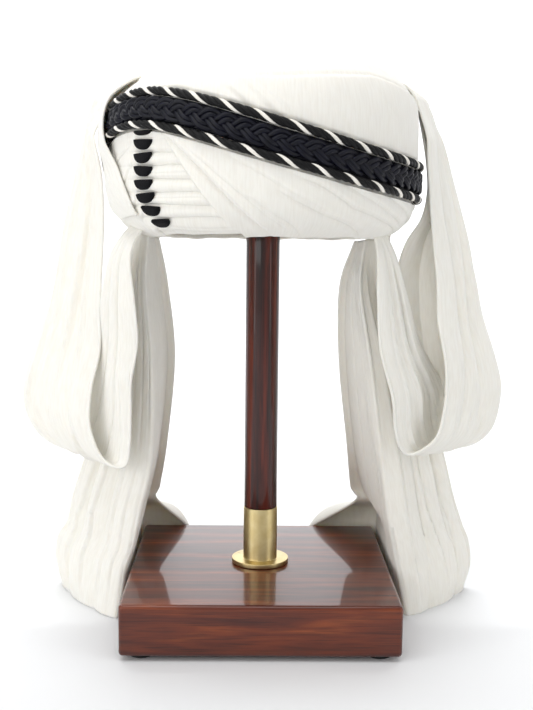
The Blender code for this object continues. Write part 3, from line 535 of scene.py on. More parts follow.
# %% [markdown]
# The post is a turned rod with a thinner tenon in the collar's socket. It starts as a cylinder
# from the collar's top upwards. Its lower face is inset and drawn down for the tenon.
# %% Post
POST_EDGE = 0.0004
TENON_SLACK = 0.0003
_, post_size, post_low = node_size("post")
shoulder = low.z + size.z + TENON_SLACK
shaft = post_low.z + post_size.z - shoulder
post = start_piece("mahogany_post", bpy.ops.mesh.primitive_cylinder_add, vertices=96,
                   radius=post_size.x / 2, depth=shaft,
                   location=(0, 0, shoulder + shaft / 2))
bpy.ops.object.mode_set(mode="EDIT")
pick_faces(post, lambda place, normal: normal.z < -0.9)
bpy.ops.mesh.inset(thickness=post_size.x / 2 - (TUBE_RADIUS - TUBE_WALL - TENON_SLACK))
bpy.ops.mesh.extrude_region_move(
    TRANSFORM_OT_translate={"value": (0, 0, post_low.z - shoulder)})
bpy.ops.object.mode_set(mode="OBJECT")
ease_edges(post, POST_EDGE, 3)
seat(post, post_wood, "hardwood", "post")

# %% [markdown]
# The disc inside the turban stays as the model has it. It can't be seen from the front, but a
# look from below shows it, so it gets the post's wood.
# %% Head rest
rest = next(o for o in bpy.data.objects if o.get("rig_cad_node") == "head_rest")
rest.data.materials.clear()
rest.data.materials.append(post_wood)
print(rest.name, "keeps its mesh:", len(rest.data.polygons), "faces")

# %% [markdown]
# Now the cloth. A wound turban is a squarish dome that bulges over its rim. We describe it once,
# by a turn round the head and a walk up its side, and lay every layer on it, as the hands do.
# One could sculpt it freely, but then no layer would follow the one below. The sizes here are
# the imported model's own.
# %% The wound form
RIM_Z = 0.296
HALF_WIDTH = 0.116
HALF_DEPTH = 0.130
HEAD_WIDTH = 0.160
HEAD_DEPTH = 0.188
CROWN_RISE = 0.064
RIM_DROP = 0.070
CROWN_LEAN = 0.006
RIM_LEAN = 0.004
CROWN_SQUARE = 3.2
RIM_SQUARE = 5.0
HOLLOW_TOP = 0.412
HOLLOW_SQUARE = 2.6
CORE_END = 0.74
LAYERS_END = 0.78
WRAP_THICKNESS = 0.004
CLOTH_THICKNESS = 0.002
LAY_GAP = 0.0005
BELLY_Z = RIM_Z + RIM_DROP
WOUND_HEIGHT = CROWN_RISE + RIM_DROP
HALVINGS = 24
NEAR_POLES = 20


def profile_table():
    """How far a walk up the side from the belly goes, for each angle of rise"""
    rises = list(np.linspace(-89.5, 89.5, 359))  # every half degree
    for up in np.linspace(0.01, 0.95, 95):
        rises.append(math.degrees(math.asin(up ** (CROWN_SQUARE / 2))))
        rises.append(-math.degrees(math.asin(up ** (RIM_SQUARE / 2))))
    rises = np.sort(rises)
    square = np.where(rises >= 0, CROWN_SQUARE, RIM_SQUARE)
    height = np.where(rises >= 0, CROWN_RISE, RIM_DROP)
    out = np.cos(np.radians(rises)) ** (2 / square) * (HALF_WIDTH + HALF_DEPTH) / 2
    up = np.copysign(np.abs(np.sin(np.radians(rises))) ** (2 / square), rises) * height
    walks = np.concatenate([[0.0], np.cumsum(np.hypot(np.diff(out), np.diff(up)))])
    return walks - np.interp(0.0, rises, walks), rises


WALKS, RISES = profile_table()


def on_turban(turn, walk, lift=0.0):
    """Places on the wound form: turns in degrees (-90 is the front), walks in metres up the
    side from the belly, lifts in metres off the surface"""
    turn, walk, lift = np.broadcast_arrays(turn, walk, lift)
    rise = np.radians(np.interp(walk, WALKS, RISES))
    side, deep = np.cos(np.radians(turn)), np.sin(np.radians(turn))
    square = np.where(rise >= 0, CROWN_SQUARE, RIM_SQUARE)
    out = np.cos(rise) ** (2 / square)
    up = np.abs(np.sin(rise)) ** (2 / square)
    height = np.where(rise >= 0, CROWN_RISE + CROWN_LEAN * out * side,
                      -RIM_DROP - RIM_LEAN * out * deep)
    place = np.stack([HALF_WIDTH * out * side, HALF_DEPTH * out * deep,
                      BELLY_Z + up * height], -1)
    slope = out ** (square - 1)
    normal = np.stack([slope * side / HALF_WIDTH, slope * deep / HALF_DEPTH,
                       up ** (square - 1) / height], -1)
    normal /= np.linalg.norm(normal, axis=-1, keepdims=True)
    return place + normal * lift[..., None]


def height_at(turn, walk):
    """Height over the rim as a share of the wound height"""
    return (on_turban(turn, walk)[..., 2] - RIM_Z) / WOUND_HEIGHT


def walk_at(turn, share):
    """Walks that reach a height, found by halving"""
    turn, share = np.broadcast_arrays(turn, share)
    low, high = np.full(turn.shape, WALKS[NEAR_POLES]), np.full(turn.shape, WALKS[-NEAR_POLES])
    for _ in range(HALVINGS):
        middle = (low + high) / 2
        below = height_at(turn, middle) < share
        low, high = np.where(below, middle, low), np.where(below, high, middle)
    return low


def walk_under(out):
    """Walk that ends under the rim, at a share of the half size from the middle"""
    rise = -math.degrees(math.acos(out ** (RIM_SQUARE / 2)))
    return float(np.interp(rise, RISES, WALKS))


print("walks from", round(float(WALKS[0]), 4), "to", round(float(WALKS[-1]), 4), "m")


# %% [markdown]
# The band runs round the head on a slanting route: high over the left temple, low over the
# right. The cloth is pressed in under it. We keep the route as heights at some turns, and work
# out from it where the cords lie and how deep the bed is.
# %% The band's route
BAND_WIDTH = 0.017
CORD_DIAMETER = 0.0062
BAND_BED = 0.0015
BED_GAP = 0.0004
CORE_GAP = 0.0012
BED_RAMP = 0.0014
SEAT_GAP = 0.0003
BAND_ROUTE = (
    # turn, height as a share of the wound height
    (-180, 0.619), (-160, 0.657), (-145, 0.694), (-133, 0.694), (-121, 0.664), (-106, 0.604),
    (-92, 0.537), (-72, 0.459), (-48, 0.381), (-17, 0.336), (20, 0.328), (60, 0.366),
    (100, 0.433), (140, 0.545))
ROUTE_STEP = 2.0
route_turns = np.arange(-180, 180, ROUTE_STEP)
route_heights = np.interp(route_turns, *np.array(BAND_ROUTE).T, period=360)
route_walks = walk_at(route_turns, route_heights)
route_walks = sum(np.roll(route_walks, k) for k in (-6, -3, 0, 3, 6)) / 5


def band_walk(turn):
    """Walk of the band's middle"""
    return np.interp(turn, route_turns, route_walks, period=360)


def band_slant(turn):
    """Cosine of the band's slope, which widens its measure along the walk"""
    rise = band_walk(turn + 3) - band_walk(turn - 3)
    return np.cos(np.arctan2(rise, math.radians(6) * (HALF_WIDTH + HALF_DEPTH) / 2))


def band_edge(turn, way, beyond=0.0):
    """Walk just outside the cord on one side of the band: 1 is above it, -1 below"""
    half = BAND_WIDTH / 2 + SEAT_GAP + CORD_DIAMETER + LAY_GAP + beyond
    return band_walk(turn) + way * half / band_slant(turn)


def bed_lift(turn, walk):
    """How deep the cloth is pressed in under the band and its cords"""
    apart = np.abs(walk - band_walk(turn))
    start = band_edge(turn, 1) - band_walk(turn)
    end = band_edge(turn, 1, BED_RAMP) - band_walk(turn)
    share = np.clip((end - apart) / (end - start), 0, 1)
    return -(BAND_BED + BED_GAP) * share * share * (3 - 2 * share)


print("band from", round(float(route_walks.min()), 4), "to", round(float(route_walks.max()), 4))

# %% [markdown]
# Folds decide whether cloth looks like cloth. A pressed fold isn't a wave: one layer ends in a
# sharp lip, falls away quickly on one side and slowly on the other. So each fold is a line
# drawn on the cloth, with the height of its lip and how far it falls away. The lip is on the
# left of the line as it is drawn. The same function serves the crown, the wraps and the tails.
# A fold fades in and out over a fifth of its length.
# %% Folds
DEGREE_MM = 2.147  # round the turban's widest line
FOLD_FADE = 5.0
VALLEY = 0.5  # depth of the sharp side, as a share of the lip's height


def fold_relief(places, folds):
    """Lift in metres at places (x, y in millimetres) from folds of (depth, short, long, line)
    in millimetres"""
    total = np.zeros(places.shape[:-1])
    for depth, short, long, line in folds:
        line = np.array(line, float)
        nearest = np.full(total.shape, 1e9)
        side, along, passed = np.zeros_like(total), np.zeros_like(total), 0.0
        for start, end in zip(line[:-1], line[1:]):
            run = end - start
            length = float(np.hypot(*run))
            to = places - start
            share = np.clip((to @ run) / length ** 2, 0, 1)
            gap = to - share[..., None] * run
            apart = np.hypot(gap[..., 0], gap[..., 1])
            closer = apart < nearest
            nearest = np.where(closer, apart, nearest)
            side = np.where(closer, run[0] * to[..., 1] - run[1] * to[..., 0], side)
            along = np.where(closer, passed + share * length, along)
            passed += length
        share = along / passed
        fade = np.clip(share * FOLD_FADE, 0, 1) * np.clip((1 - share) * FOLD_FADE, 0, 1)
        fade = fade * (2 - fade)
        close = np.exp(-(nearest / short) ** 2)
        form = np.where(side >= 0, np.exp(-nearest / long) * (1 - close), -VALLEY * close)
        total += depth / 1000 * fade * form
    return total


def chart(turn, share):
    """Millimetres round and up the turban, for drawing folds on it"""
    x, y = np.broadcast_arrays(turn * DEGREE_MM, share * WOUND_HEIGHT * 1000)
    return np.stack([x, y], -1)


def drawn(folds):
    """Folds whose lines are drawn in (turn, height over the floor in mm), put on the chart"""
    return [(depth, short, long, [(turn * DEGREE_MM, height - RIM_Z * 1000)
                                  for turn, height in line])
            for depth, short, long, line in folds]


# %% [markdown]
# A cloth piece is a grid of points. These helpers turn a grid into a closed wall with a
# rounded hem all round its border, and give it a map in metres for the weave. Solidify could
# give the wall its thickness too, but its rim is square, and a folded hem is round.
# %% Cloth walls
HEM_ROUND = 0.45


def grid_quads(rows, columns, first=0, closed=False):
    """Corner numbers of a grid's faces; a closed grid's last column meets its first"""
    i, j = np.mgrid[0:rows - 1, 0:columns if closed else columns - 1]
    k = (j + 1) % columns
    quads = np.stack([i * columns + j, i * columns + k, (i + 1) * columns + k,
                      (i + 1) * columns + j], -1)
    return (quads.reshape(-1, 4) + first).tolist()


def make_piece(name, points, faces, cloth_map):
    """A closed mesh with its faces outwards, smooth, with a map called cloth"""
    rough = bpy.data.meshes.new(name)
    rough.from_pydata(np.asarray(points).tolist(), [], faces)
    work = bmesh.new()
    work.from_mesh(rough)
    bmesh.ops.recalc_face_normals(work, faces=work.faces)
    work.to_mesh(rough)
    work.free()
    corners = np.empty(len(rough.loops), np.int32)
    rough.loops.foreach_get("vertex_index", corners)
    layer = rough.uv_layers.new(name="cloth")
    layer.data.foreach_set("uv", np.asarray(cloth_map, np.float32)[corners].ravel())
    rough.shade_smooth()
    piece = bpy.data.objects.new(name, rough)
    bpy.context.scene.collection.objects.link(piece)
    return piece


def arc_map(grid):
    """A map in metres: the arc lengths across and along the middle of a grid"""
    rows, columns = grid.shape[:2]
    across = np.linalg.norm(np.diff(grid, axis=1), axis=2).mean(axis=0)
    along = np.linalg.norm(np.diff(grid, axis=0), axis=2).mean(axis=1)
    u = np.concatenate([[0.0], np.cumsum(across)])
    v = np.concatenate([[0.0], np.cumsum(along)])
    return np.stack(np.broadcast_arrays(u[None, :], v[:, None]), -1).reshape(rows, columns, 2)


def wall_between(name, outer, inner, cloth_map=None):
    """A wall between two grids, with a round hem along its border"""
    rows, columns = outer.shape[:2]
    size = rows * columns
    middle = (outer + inner) / 2
    cloth_map = arc_map(middle) if cloth_map is None else cloth_map
    border = [(0, j) for j in range(columns)] + [(i, columns - 1) for i in range(1, rows)]
    border += [(rows - 1, j) for j in range(columns - 2, -1, -1)]
    border += [(i, 0) for i in range(rows - 2, 0, -1)]
    i, j = np.array(border).T
    inward = middle[np.clip(i, 1, rows - 2), np.clip(j, 1, columns - 2)]
    away = middle[i, j] - inward
    away /= np.linalg.norm(away, axis=1, keepdims=True)
    thick = np.linalg.norm(outer[i, j] - inner[i, j], axis=1, keepdims=True)
    hem = middle[i, j] + away * thick * HEM_ROUND
    points = np.concatenate([outer.reshape(-1, 3), inner.reshape(-1, 3), hem])
    flat = cloth_map.reshape(-1, 2)
    border_map = cloth_map[i, j]
    faces = grid_quads(rows, columns)
    faces += [quad[::-1] for quad in grid_quads(rows, columns, size)]
    count = len(border)
    for k in range(count):
        m = (k + 1) % count
        a, b = i[k] * columns + j[k], i[m] * columns + j[m]
        faces.append([int(a), 2 * size + k, 2 * size + m, int(b)])
        faces.append([int(size + a), int(size + b), 2 * size + m, 2 * size + k])
    return make_piece(name, points, faces, np.concatenate([flat, flat, border_map]))


def grid_normals(grid):
    """Unit normals of a grid's surface"""
    normal = np.cross(np.gradient(grid, axis=0), np.gradient(grid, axis=1))
    return normal / np.linalg.norm(normal, axis=2, keepdims=True)


def smooth_rows(rows, count):
    """Rows of numbers resampled along a Catmull-Rom curve through them"""
    rows = np.asarray(rows, float)
    shape = rows.shape
    flat = rows.reshape(shape[0], -1)
    padded = np.concatenate([[2 * flat[0] - flat[1]], flat, [2 * flat[-1] - flat[-2]]])
    place = np.linspace(0, shape[0] - 1, count)
    k = np.minimum(place.astype(int), shape[0] - 2)
    t = (place - k)[:, None]
    p0, p1, p2, p3 = padded[k], padded[k + 1], padded[k + 2], padded[k + 3]
    curve = 0.5 * (2 * p1 + (p2 - p0) * t + (2 * p0 - 5 * p1 + 4 * p2 - p3) * t ** 2
                   + (3 * p1 - p0 - 3 * p2 + p3) * t ** 3)
    return curve.reshape((count,) + shape[1:])


def cloth_size(grid):
    """Mean width and length of a grid of cloth, in metres"""
    across = np.linalg.norm(np.diff(grid, axis=1), axis=2).sum(axis=1).mean()
    along = np.linalg.norm(np.diff(grid, axis=0), axis=2).sum(axis=0).mean()
    return round(float(across), 3), round(float(along), 3)


def seat_cloth(piece, grid, node):
    seat(piece, cotton, "turban_cloth", node)
    print(piece.name, "laid flat:", cloth_size(grid), "m")


# %% [markdown]
# The crown is many layers of muslin wound over each other. From the front one long layer ends
# in a lip near the top, and a few pulled folds run down into the band. From above, the layers
# cross the head one after the other. The piece is closed: over the top, down inside the wraps,
# and up through the hollow where the head goes.
# %% Wound crown
CROWN_COLUMNS = 384
CROWN_ROWS = 120
CORE_ROWS = 16
HOLLOW_ROWS = 24
CROWN_FOLDS = drawn((
    # lip height, short side, long side, line
    (2.89, 1.71, 14.0, ((2, 394), (-10, 399), (-19, 404), (-36, 409), (-47, 412), (-71, 409),
                      (-85, 407), (-105, 407), (-128, 404), (-150, 398))),
    (1.7, 1.9, 6.0, ((-104, 400), (-98, 391), (-92, 381))),
    (1.53, 1.9, 5.0, ((-98, 403), (-91, 390), (-85, 378))),
    (0.9, 2.0, 5.0, ((-94, 405), (-86, 391), (-80, 377))),
    (0.5, 2.4, 7.0, ((-75, 402), (-66, 386), (-60, 368))),
    (0.4, 2.4, 8.0, ((-48, 400), (-38, 384), (-33, 362))),
    (2.21, 1.9, 11.0, ((168, 404), (140, 399), (110, 391), (80, 384), (45, 382), (14, 386))),
    (2.04, 1.9, 11.0, ((190, 412), (160, 414), (120, 408), (80, 402), (40, 402), (8, 407))),
    (1.7, 1.9, 9.0, ((175, 391), (150, 386), (120, 375), (92, 367), (60, 362), (24, 362))),
    (1.7, 1.9, 9.0, ((-172, 417), (-150, 413), (-128, 414))),
))
TOP_FOLDS = (
    # lip height, short side, long side, line across the crown's plan
    (2.1, 2.28, 15.0, ((104, -38), (60, -70), (10, -84), (-40, -82), (-98, -58))),
    (2.25, 2.28, 16.0, ((112, -6), (60, -40), (0, -52), (-60, -48), (-110, -22))),
    (2.25, 2.28, 16.0, ((110, 30), (50, 2), (0, -14), (-60, -10), (-112, 12))),
    (2.25, 2.28, 16.0, ((104, 62), (50, 38), (0, 24), (-60, 26), (-108, 44))),
    (2.1, 2.28, 15.0, ((88, 92), (40, 72), (0, 62), (-50, 62), (-96, 74))),
    (1.8, 2.28, 14.0, ((60, 114), (20, 100), (-20, 98), (-64, 106))),
)
TOP_START, TOP_FULL = 0.90, 0.955
CROWN_LIFT_LIMITS = (-0.0025, 0.0035)
FIRST_RING = 0.004  # share of the walk from the pole, which keeps the ring open


def crown_lift(turn, walk):
    """Folds on the crown: drawn round its side below, and across its plan on top"""
    share = height_at(turn, walk)
    around = (turn + 90) % 360 - 90
    places = chart(np.where(around > 200, around - 360, around), share)
    wrapped = chart(np.where(around > 200, around, around - 360), share)
    lift = fold_relief(places, CROWN_FOLDS) + fold_relief(wrapped, CROWN_FOLDS)
    top = np.clip((share - TOP_START) / (TOP_FULL - TOP_START), 0, 1)
    plan = on_turban(turn, walk)[..., :2] * 1000
    return lift * (1 - top) + fold_relief(plan, TOP_FOLDS) * top


def crown():
    turn = np.linspace(-180, 180, CROWN_COLUMNS, endpoint=False)[None, :]
    middle = band_walk(turn)
    share = np.linspace(FIRST_RING, 1, CROWN_ROWS)[:, None]
    walk = WALKS[-1] * (1 - share) + (middle + BAND_WIDTH / 8) * share
    dome = on_turban(turn, walk, np.clip(crown_lift(turn, walk), *CROWN_LIFT_LIMITS)
                     + bed_lift(turn, walk))
    share = np.linspace(0, 1, CORE_ROWS)[:, None]
    rim_walk = walk_under(CORE_END)
    core = on_turban(turn, (middle - BAND_WIDTH / 8) * (1 - share) + rim_walk * share,
                     -WRAP_THICKNESS - CORE_GAP)
    angle = np.linspace(0, math.pi / 2, HOLLOW_ROWS, endpoint=False)[:, None]
    out, up = np.cos(angle) ** (2 / HOLLOW_SQUARE), np.sin(angle) ** (2 / HOLLOW_SQUARE)
    lowest = on_turban(turn, rim_walk, -WRAP_THICKNESS)[..., 2] + WRAP_THICKNESS
    hollow = np.stack([HEAD_WIDTH / 2 * out * np.cos(np.radians(turn)),
                       HEAD_DEPTH / 2 * out * np.sin(np.radians(turn)),
                       lowest + (HOLLOW_TOP - lowest) * up], -1)
    rings = np.concatenate([dome, core, hollow])
    rows = len(rings)
    top_lift = float(crown_lift(np.array(-90.0), np.array(WALKS[-1])))
    poles = [(0, 0, BELLY_Z + CROWN_RISE + top_lift), (0, 0, HOLLOW_TOP)]
    points = np.concatenate([rings.reshape(-1, 3), poles])
    steps = np.linalg.norm(np.diff(rings, axis=0), axis=2).mean(axis=1)
    v = np.concatenate([[0.0], np.cumsum(steps)])
    u = np.radians(turn[0]) * (HALF_WIDTH + HALF_DEPTH) / 2
    cloth_map = np.stack(np.broadcast_arrays(u[None, :], v[:, None]), -1).reshape(-1, 2)
    cloth_map = np.concatenate([cloth_map, [[0, 0], [0, v[-1]]]])
    faces = grid_quads(rows, CROWN_COLUMNS, closed=True)
    size, last = rows * CROWN_COLUMNS, (rows - 1) * CROWN_COLUMNS
    for j in range(CROWN_COLUMNS):
        k = (j + 1) % CROWN_COLUMNS
        faces.append([size, k, j])
        faces.append([size + 1, last + j, last + k])
    piece = make_piece("crown_cloth", points, faces, cloth_map)
    seat(piece, cotton, "turban_cloth", "wound_crown")


crown()

# %% [markdown]
# Below the band the cloth is folded in two ways. At the wearer's front, seven level pleats lie
# one over the other. A second layer crosses them on a slant and goes on round the back. Both
# are laid on the wound form between two edges, in rows from the band's bed down to the rim.
# %% Laying a layer on the form
CROSSING_EDGE = (
    # height, turn
    (0.030, -97.0), (0.079, -100.0), (0.127, -104.5), (0.272, -112.0), (0.389, -118.0),
    (0.486, -123.0), (0.564, -127.0), (0.709, -133.0))
SIDE_EDGE = (
    # height, turn
    (0.030, -140.0), (0.137, -145.0), (0.253, -150.0), (0.399, -157.0), (0.583, -163.0),
    (0.806, -167.0))
SIDE_GAP_DEGREES = 0.44
SAG = 0.0036
SAG_HEIGHT = 0.14
SETTLING_ROUNDS = 5


def edge_turn(edge, share):
    """Turn of an edge at a height"""
    return np.interp(share, [row[0] for row in edge], [row[1] for row in edge])


def rim_sag(place, turn, share):
    """Let the cloth hang a little below the rim, unevenly, as a soft edge does"""
    wave = 0.75 + 0.15 * np.sin(np.radians(turn * 9)) + 0.1 * np.sin(np.radians(turn * 23 + 40))
    fall = SAG * wave * np.clip(1 - share / SAG_HEIGHT, 0, 1.1) ** 1.5
    return place - np.stack([0 * fall, 0 * fall, fall], -1)


def laid_layer(name, rows, start_of, end_of, across, relief):
    """A layer between two edges: rows give walks at turns, across gives shares of the way"""
    share = np.full((len(rows), len(across)), 0.3)
    for _ in range(SETTLING_ROUNDS):
        start, end = start_of(share), end_of(share)
        turn = start + (end - start) * np.asarray(across)[None, :]
        walk = np.stack([row(turn[k]) for k, row in enumerate(rows)])
        share = height_at(turn, walk)
    bed = bed_lift(turn, walk)
    lift = np.where(bed < -LAY_GAP, np.minimum(relief(turn, share), 0) + bed, relief(turn, share))
    outer = on_turban(turn, walk, np.maximum(lift, LAY_GAP - WRAP_THICKNESS))
    outer = rim_sag(outer, turn, share)
    inner = rim_sag(on_turban(turn, walk, -WRAP_THICKNESS), turn, share)
    u = np.radians(turn) * (HALF_WIDTH + HALF_DEPTH) / 2
    piece = wall_between(name, outer, inner, np.stack([u, walk], -1))
    return piece, outer


def below_band(turn):
    """Walk just below the band's bed"""
    return band_edge(turn, -1, BED_RAMP)


def rows_from_band(count):
    """Rows from under the band, through its bed, then evenly down to the rim"""
    rows = [lambda turn: band_walk(turn) - BAND_WIDTH / 4, lambda turn: band_edge(turn, -1)]
    for share in np.linspace(0.25, 0.75, 3):
        rows.append(lambda turn, s=share: band_edge(turn, -1) * (1 - s) + below_band(turn) * s)
    for share in np.linspace(0, 1, count):
        rows.append(lambda turn, s=share: below_band(turn) * (1 - s) + walk_under(LAYERS_END) * s)
    return rows


# %% [markdown]
# Each pleat swells towards its lower lip and tucks in under it, so the shadow line is under the
# pleat. A few have a second faint line, where the cloth was doubled. Left of the tabs the
# pleats are gathered down to the rim.
# %% Front pleats
PLEAT_PITCH = 9.0
PLEATS_TOP = 62.5
PLEAT_DEPTH = 3.0
PLEAT_WAVER = 0.35
PLEAT_ROWS, PLEAT_COLUMNS = 170, 110
DOUBLED_PLEATS = ((1, 0.55, 0.5), (3, 0.42, 0.5), (5, 0.6, 0.35))  # number, place, depth
GATHERS = drawn((
    (1.17, 1.04, 4.0, ((-150, 336), (-146, 344), (-142, 354))),
    (1.04, 1.04, 4.0, ((-156, 352), (-150, 358), (-143, 364))),
    (1.3, 1.04, 3.5, ((-147, 316), (-143, 324), (-139, 334))),
    (1.17, 0.91, 3.0, ((-146, 309), (-141, 315), (-137, 321))),
    (1.17, 0.91, 3.0, ((-142, 303), (-138, 307), (-132, 311))),
))


def pleat_relief(turn, share):
    """Lift of the pleats: each swells downwards, then drops to its lip"""
    height = share * WOUND_HEIGHT * 1000
    wavered = height + PLEAT_WAVER * np.sin(turn * 0.19 + height * 0.4)
    phase = (PLEATS_TOP - wavered) / PLEAT_PITCH
    number = np.floor(phase)
    down = phase - number
    form = np.sin(math.pi * np.clip(down, 0, 1) ** 1.35) ** 0.55 - 1
    for which, place, depth in DOUBLED_PLEATS:
        form -= np.where(number == which, depth * np.exp(-((down - place) / 0.06) ** 2), 0) * 0.4
    fade = np.clip((turn + 147) / 8, 0.15, 1)
    above = np.clip((phase + 1.2) / 0.8, 0, 1)
    lift = PLEAT_DEPTH / 1000 * form * fade * above
    return lift + fold_relief(chart(turn, share), GATHERS)


pleats, grid = laid_layer(
    "pleated_front", rows_from_band(PLEAT_ROWS),
    lambda share: edge_turn(SIDE_EDGE, share) + SIDE_GAP_DEGREES,
    lambda share: edge_turn(CROSSING_EDGE, share) - SIDE_GAP_DEGREES,
    np.linspace(0, 1, PLEAT_COLUMNS), pleat_relief)
seat_cloth(pleats, grid, "front_pleats")

# %% [markdown]
# The crossing layer starts under the band at the left temple and fans out to the right rim. Its
# own edge is a rolled lip over the pleats. A deep fold runs beside it, and softer ones fan out
# below the band. Round the side and the back the folds follow the band. The front, which has
# the finest folds, gets half of the columns.
# %% Crossing layer
EDGE_ROLL = 1.2
EDGE_FALL = 5.0
WRAP_FRONT = 0.31
WRAP_ROWS, FRONT_COLUMNS, BACK_COLUMNS = 74, 230, 220
WRAP_FOLDS = drawn((
    (3.56, 2.2, 9.9, ((-127, 372), (-124, 368), (-117, 356), (-112, 347), (-105, 333),
                     (-99, 321), (-93, 311), (-86, 303))),
    (1.24, 1.8, 4.4, ((-119, 365), (-109, 349), (-100, 334), (-90, 318), (-80, 305))),
    (2.63, 2.4, 7.7, ((-86, 333), (-78, 325), (-69, 317), (-58, 311), (-44, 303))),
    (1.86, 1.6, 6.6, ((-84, 346), (-72, 337), (-58, 322), (-40, 313), (-16, 305))),
    (1.55, 1.8, 6.6, ((-70, 345), (-56, 332), (-38, 318), (-20, 309))),
    (1.4, 1.8, 6.6, ((-54, 341), (-38, 328), (-22, 318), (-4, 309))),
    (1.08, 1.8, 6.6, ((-104, 358), (-92, 344), (-80, 330), (-66, 318))),
    (1.4, 2.4, 8.8, ((-96, 330), (-86, 317), (-74, 304))),
    (1.24, 1.8, 5.5, ((-34, 336), (-20, 327), (-6, 320), (10, 314))),
    (2.02, 2.0, 9.9, ((-2, 328), (40, 324), (90, 331), (130, 344), (170, 358), (196, 364))),
    (1.86, 2.0, 9.9, ((6, 314), (50, 311), (100, 316), (150, 330), (205, 348))),
    (1.55, 2.0, 8.8, ((60, 304), (110, 305), (160, 314), (208, 328))),
    (1.4, 2.0, 7.7, ((84, 344), (120, 352), (160, 366), (190, 371))),
))


def wrap_relief(turn, share):
    """Lift of the crossing layer: a rolled lip along its edge, and its folds"""
    roll = (turn - edge_turn(CROSSING_EDGE, share)) * DEGREE_MM
    edge = EDGE_ROLL / 1000 * np.exp(-roll / EDGE_FALL) * (1 - np.exp(-(roll / 0.7 + 0.3)))
    return edge + fold_relief(chart(turn, share), WRAP_FOLDS)


across = np.concatenate([np.linspace(0, WRAP_FRONT, FRONT_COLUMNS),
                         np.linspace(WRAP_FRONT, 1, BACK_COLUMNS)[1:]])
crossing, grid = laid_layer(
    "crossing_layer", rows_from_band(WRAP_ROWS),
    lambda share: edge_turn(CROSSING_EDGE, share),
    lambda share: edge_turn(SIDE_EDGE, share) + 360 - SIDE_GAP_DEGREES,
    across, wrap_relief)
seat_cloth(crossing, grid, "diagonal_wrap")

# %% [markdown]
# A narrow strip comes over the band at the left temple, down to the rim, and is gathered there.
# Its long folds run together towards the tuck, so they are drawn in shares of its own width.
# %% Side strip
SIDE_STRIP = (
    # walk from the band's middle in band widths, front turn, back turn, raised over the band
    (1.50, -168.5, -180.0, 0.15), (1.00, -168.0, -183.0, 0.55), (0.60, -167.0, -187.0, 0.95),
    (0.25, -165.0, -190.0, 1.00), (-0.20, -163.0, -190.0, 1.00), (-0.60, -160.0, -191.0, 0.95),
    (-0.90, -157.0, -188.0, 0.50), (-1.30, -152.0, -183.0, 0.10), (-1.70, -148.0, -177.0, 0.00),
    (-2.10, -144.5, -167.0, 0.00), (-2.50, -142.0, -158.0, 0.00))
SIDE_STRIP_END = 0.92
STRIP_LENGTH = 130  # millimetres, also its rows
STRIP_COLUMNS = 60
STRIP_FOLDS = (
    # lip height, short side, long side, line in (percent of the width, millimetres down)
    (1.56, 1.92, 9.0, ((16, 0), (20, 40), (18, 90), (22, 130))),
    (1.68, 1.92, 9.0, ((40, 2), (42, 45), (38, 95), (44, 130))),
    (1.44, 1.92, 8.0, ((64, 4), (62, 50), (60, 100), (62, 130))),
    (1.2, 1.92, 8.0, ((84, 8), (82, 60), (80, 110), (80, 130))),
    (0.84, 1.92, 5.0, ((30, 60), (28, 95), (34, 130))),
)


def side_strip():
    rows = smooth_rows(SIDE_STRIP, STRIP_LENGTH)
    across = np.linspace(0, 1, STRIP_COLUMNS)[None, :]
    turn = rows[:, 1:2] + (rows[:, 2:3] - rows[:, 1:2]) * across
    whole = BAND_WIDTH + 2 * (CORD_DIAMETER + SEAT_GAP)
    walk = np.maximum(band_walk(turn) + rows[:, 0:1] * whole, walk_under(SIDE_STRIP_END))
    lift = CORE_GAP + rows[:, 3:4] * (CORD_DIAMETER - BAND_BED)
    down = np.linspace(0, STRIP_LENGTH, STRIP_LENGTH)[:, None]
    places = np.stack(np.broadcast_arrays(across * 100, down), -1)
    relief = np.maximum(fold_relief(places, STRIP_FOLDS), -CLOTH_THICKNESS / 2)
    outer = on_turban(turn, walk, lift + CLOTH_THICKNESS + relief)
    inner = on_turban(turn, walk, lift + relief * 0.5)
    return wall_between("side_strip", outer, inner), outer


strip, grid = side_strip()
seat_cloth(strip, grid, "side_wrap")

# %% [markdown]
# The band is a flat plait of three strands, each of two satin plies side by side. In a flat
# plait every strand swings from edge to edge and goes over, then under, once each time. That is
# a sine across and one of twice the rate for the height, a third of a cycle apart. A tube is
# swept along each ply and closed on itself, over a dark strip that backs the plait.
# %% Plaited band
PLAIT_CYCLES = 21
STRAND_SWING = 0.0049
STRAND_RISE = 0.00125
STRAND_MIDDLE = 0.00105
PLY_RADIUS = 0.0019
PLY_SPACING = 0.0031
STEPS_PER_CYCLE, PLY_SIDES = 28, 10
BACKING_STEPS, BACKING_SIDES = 240, 12
BACKING_HALF_HEIGHT, BACKING_LIFT = 0.0008, 0.0009
ROUND = 360 * DEGREE_MM / 1000


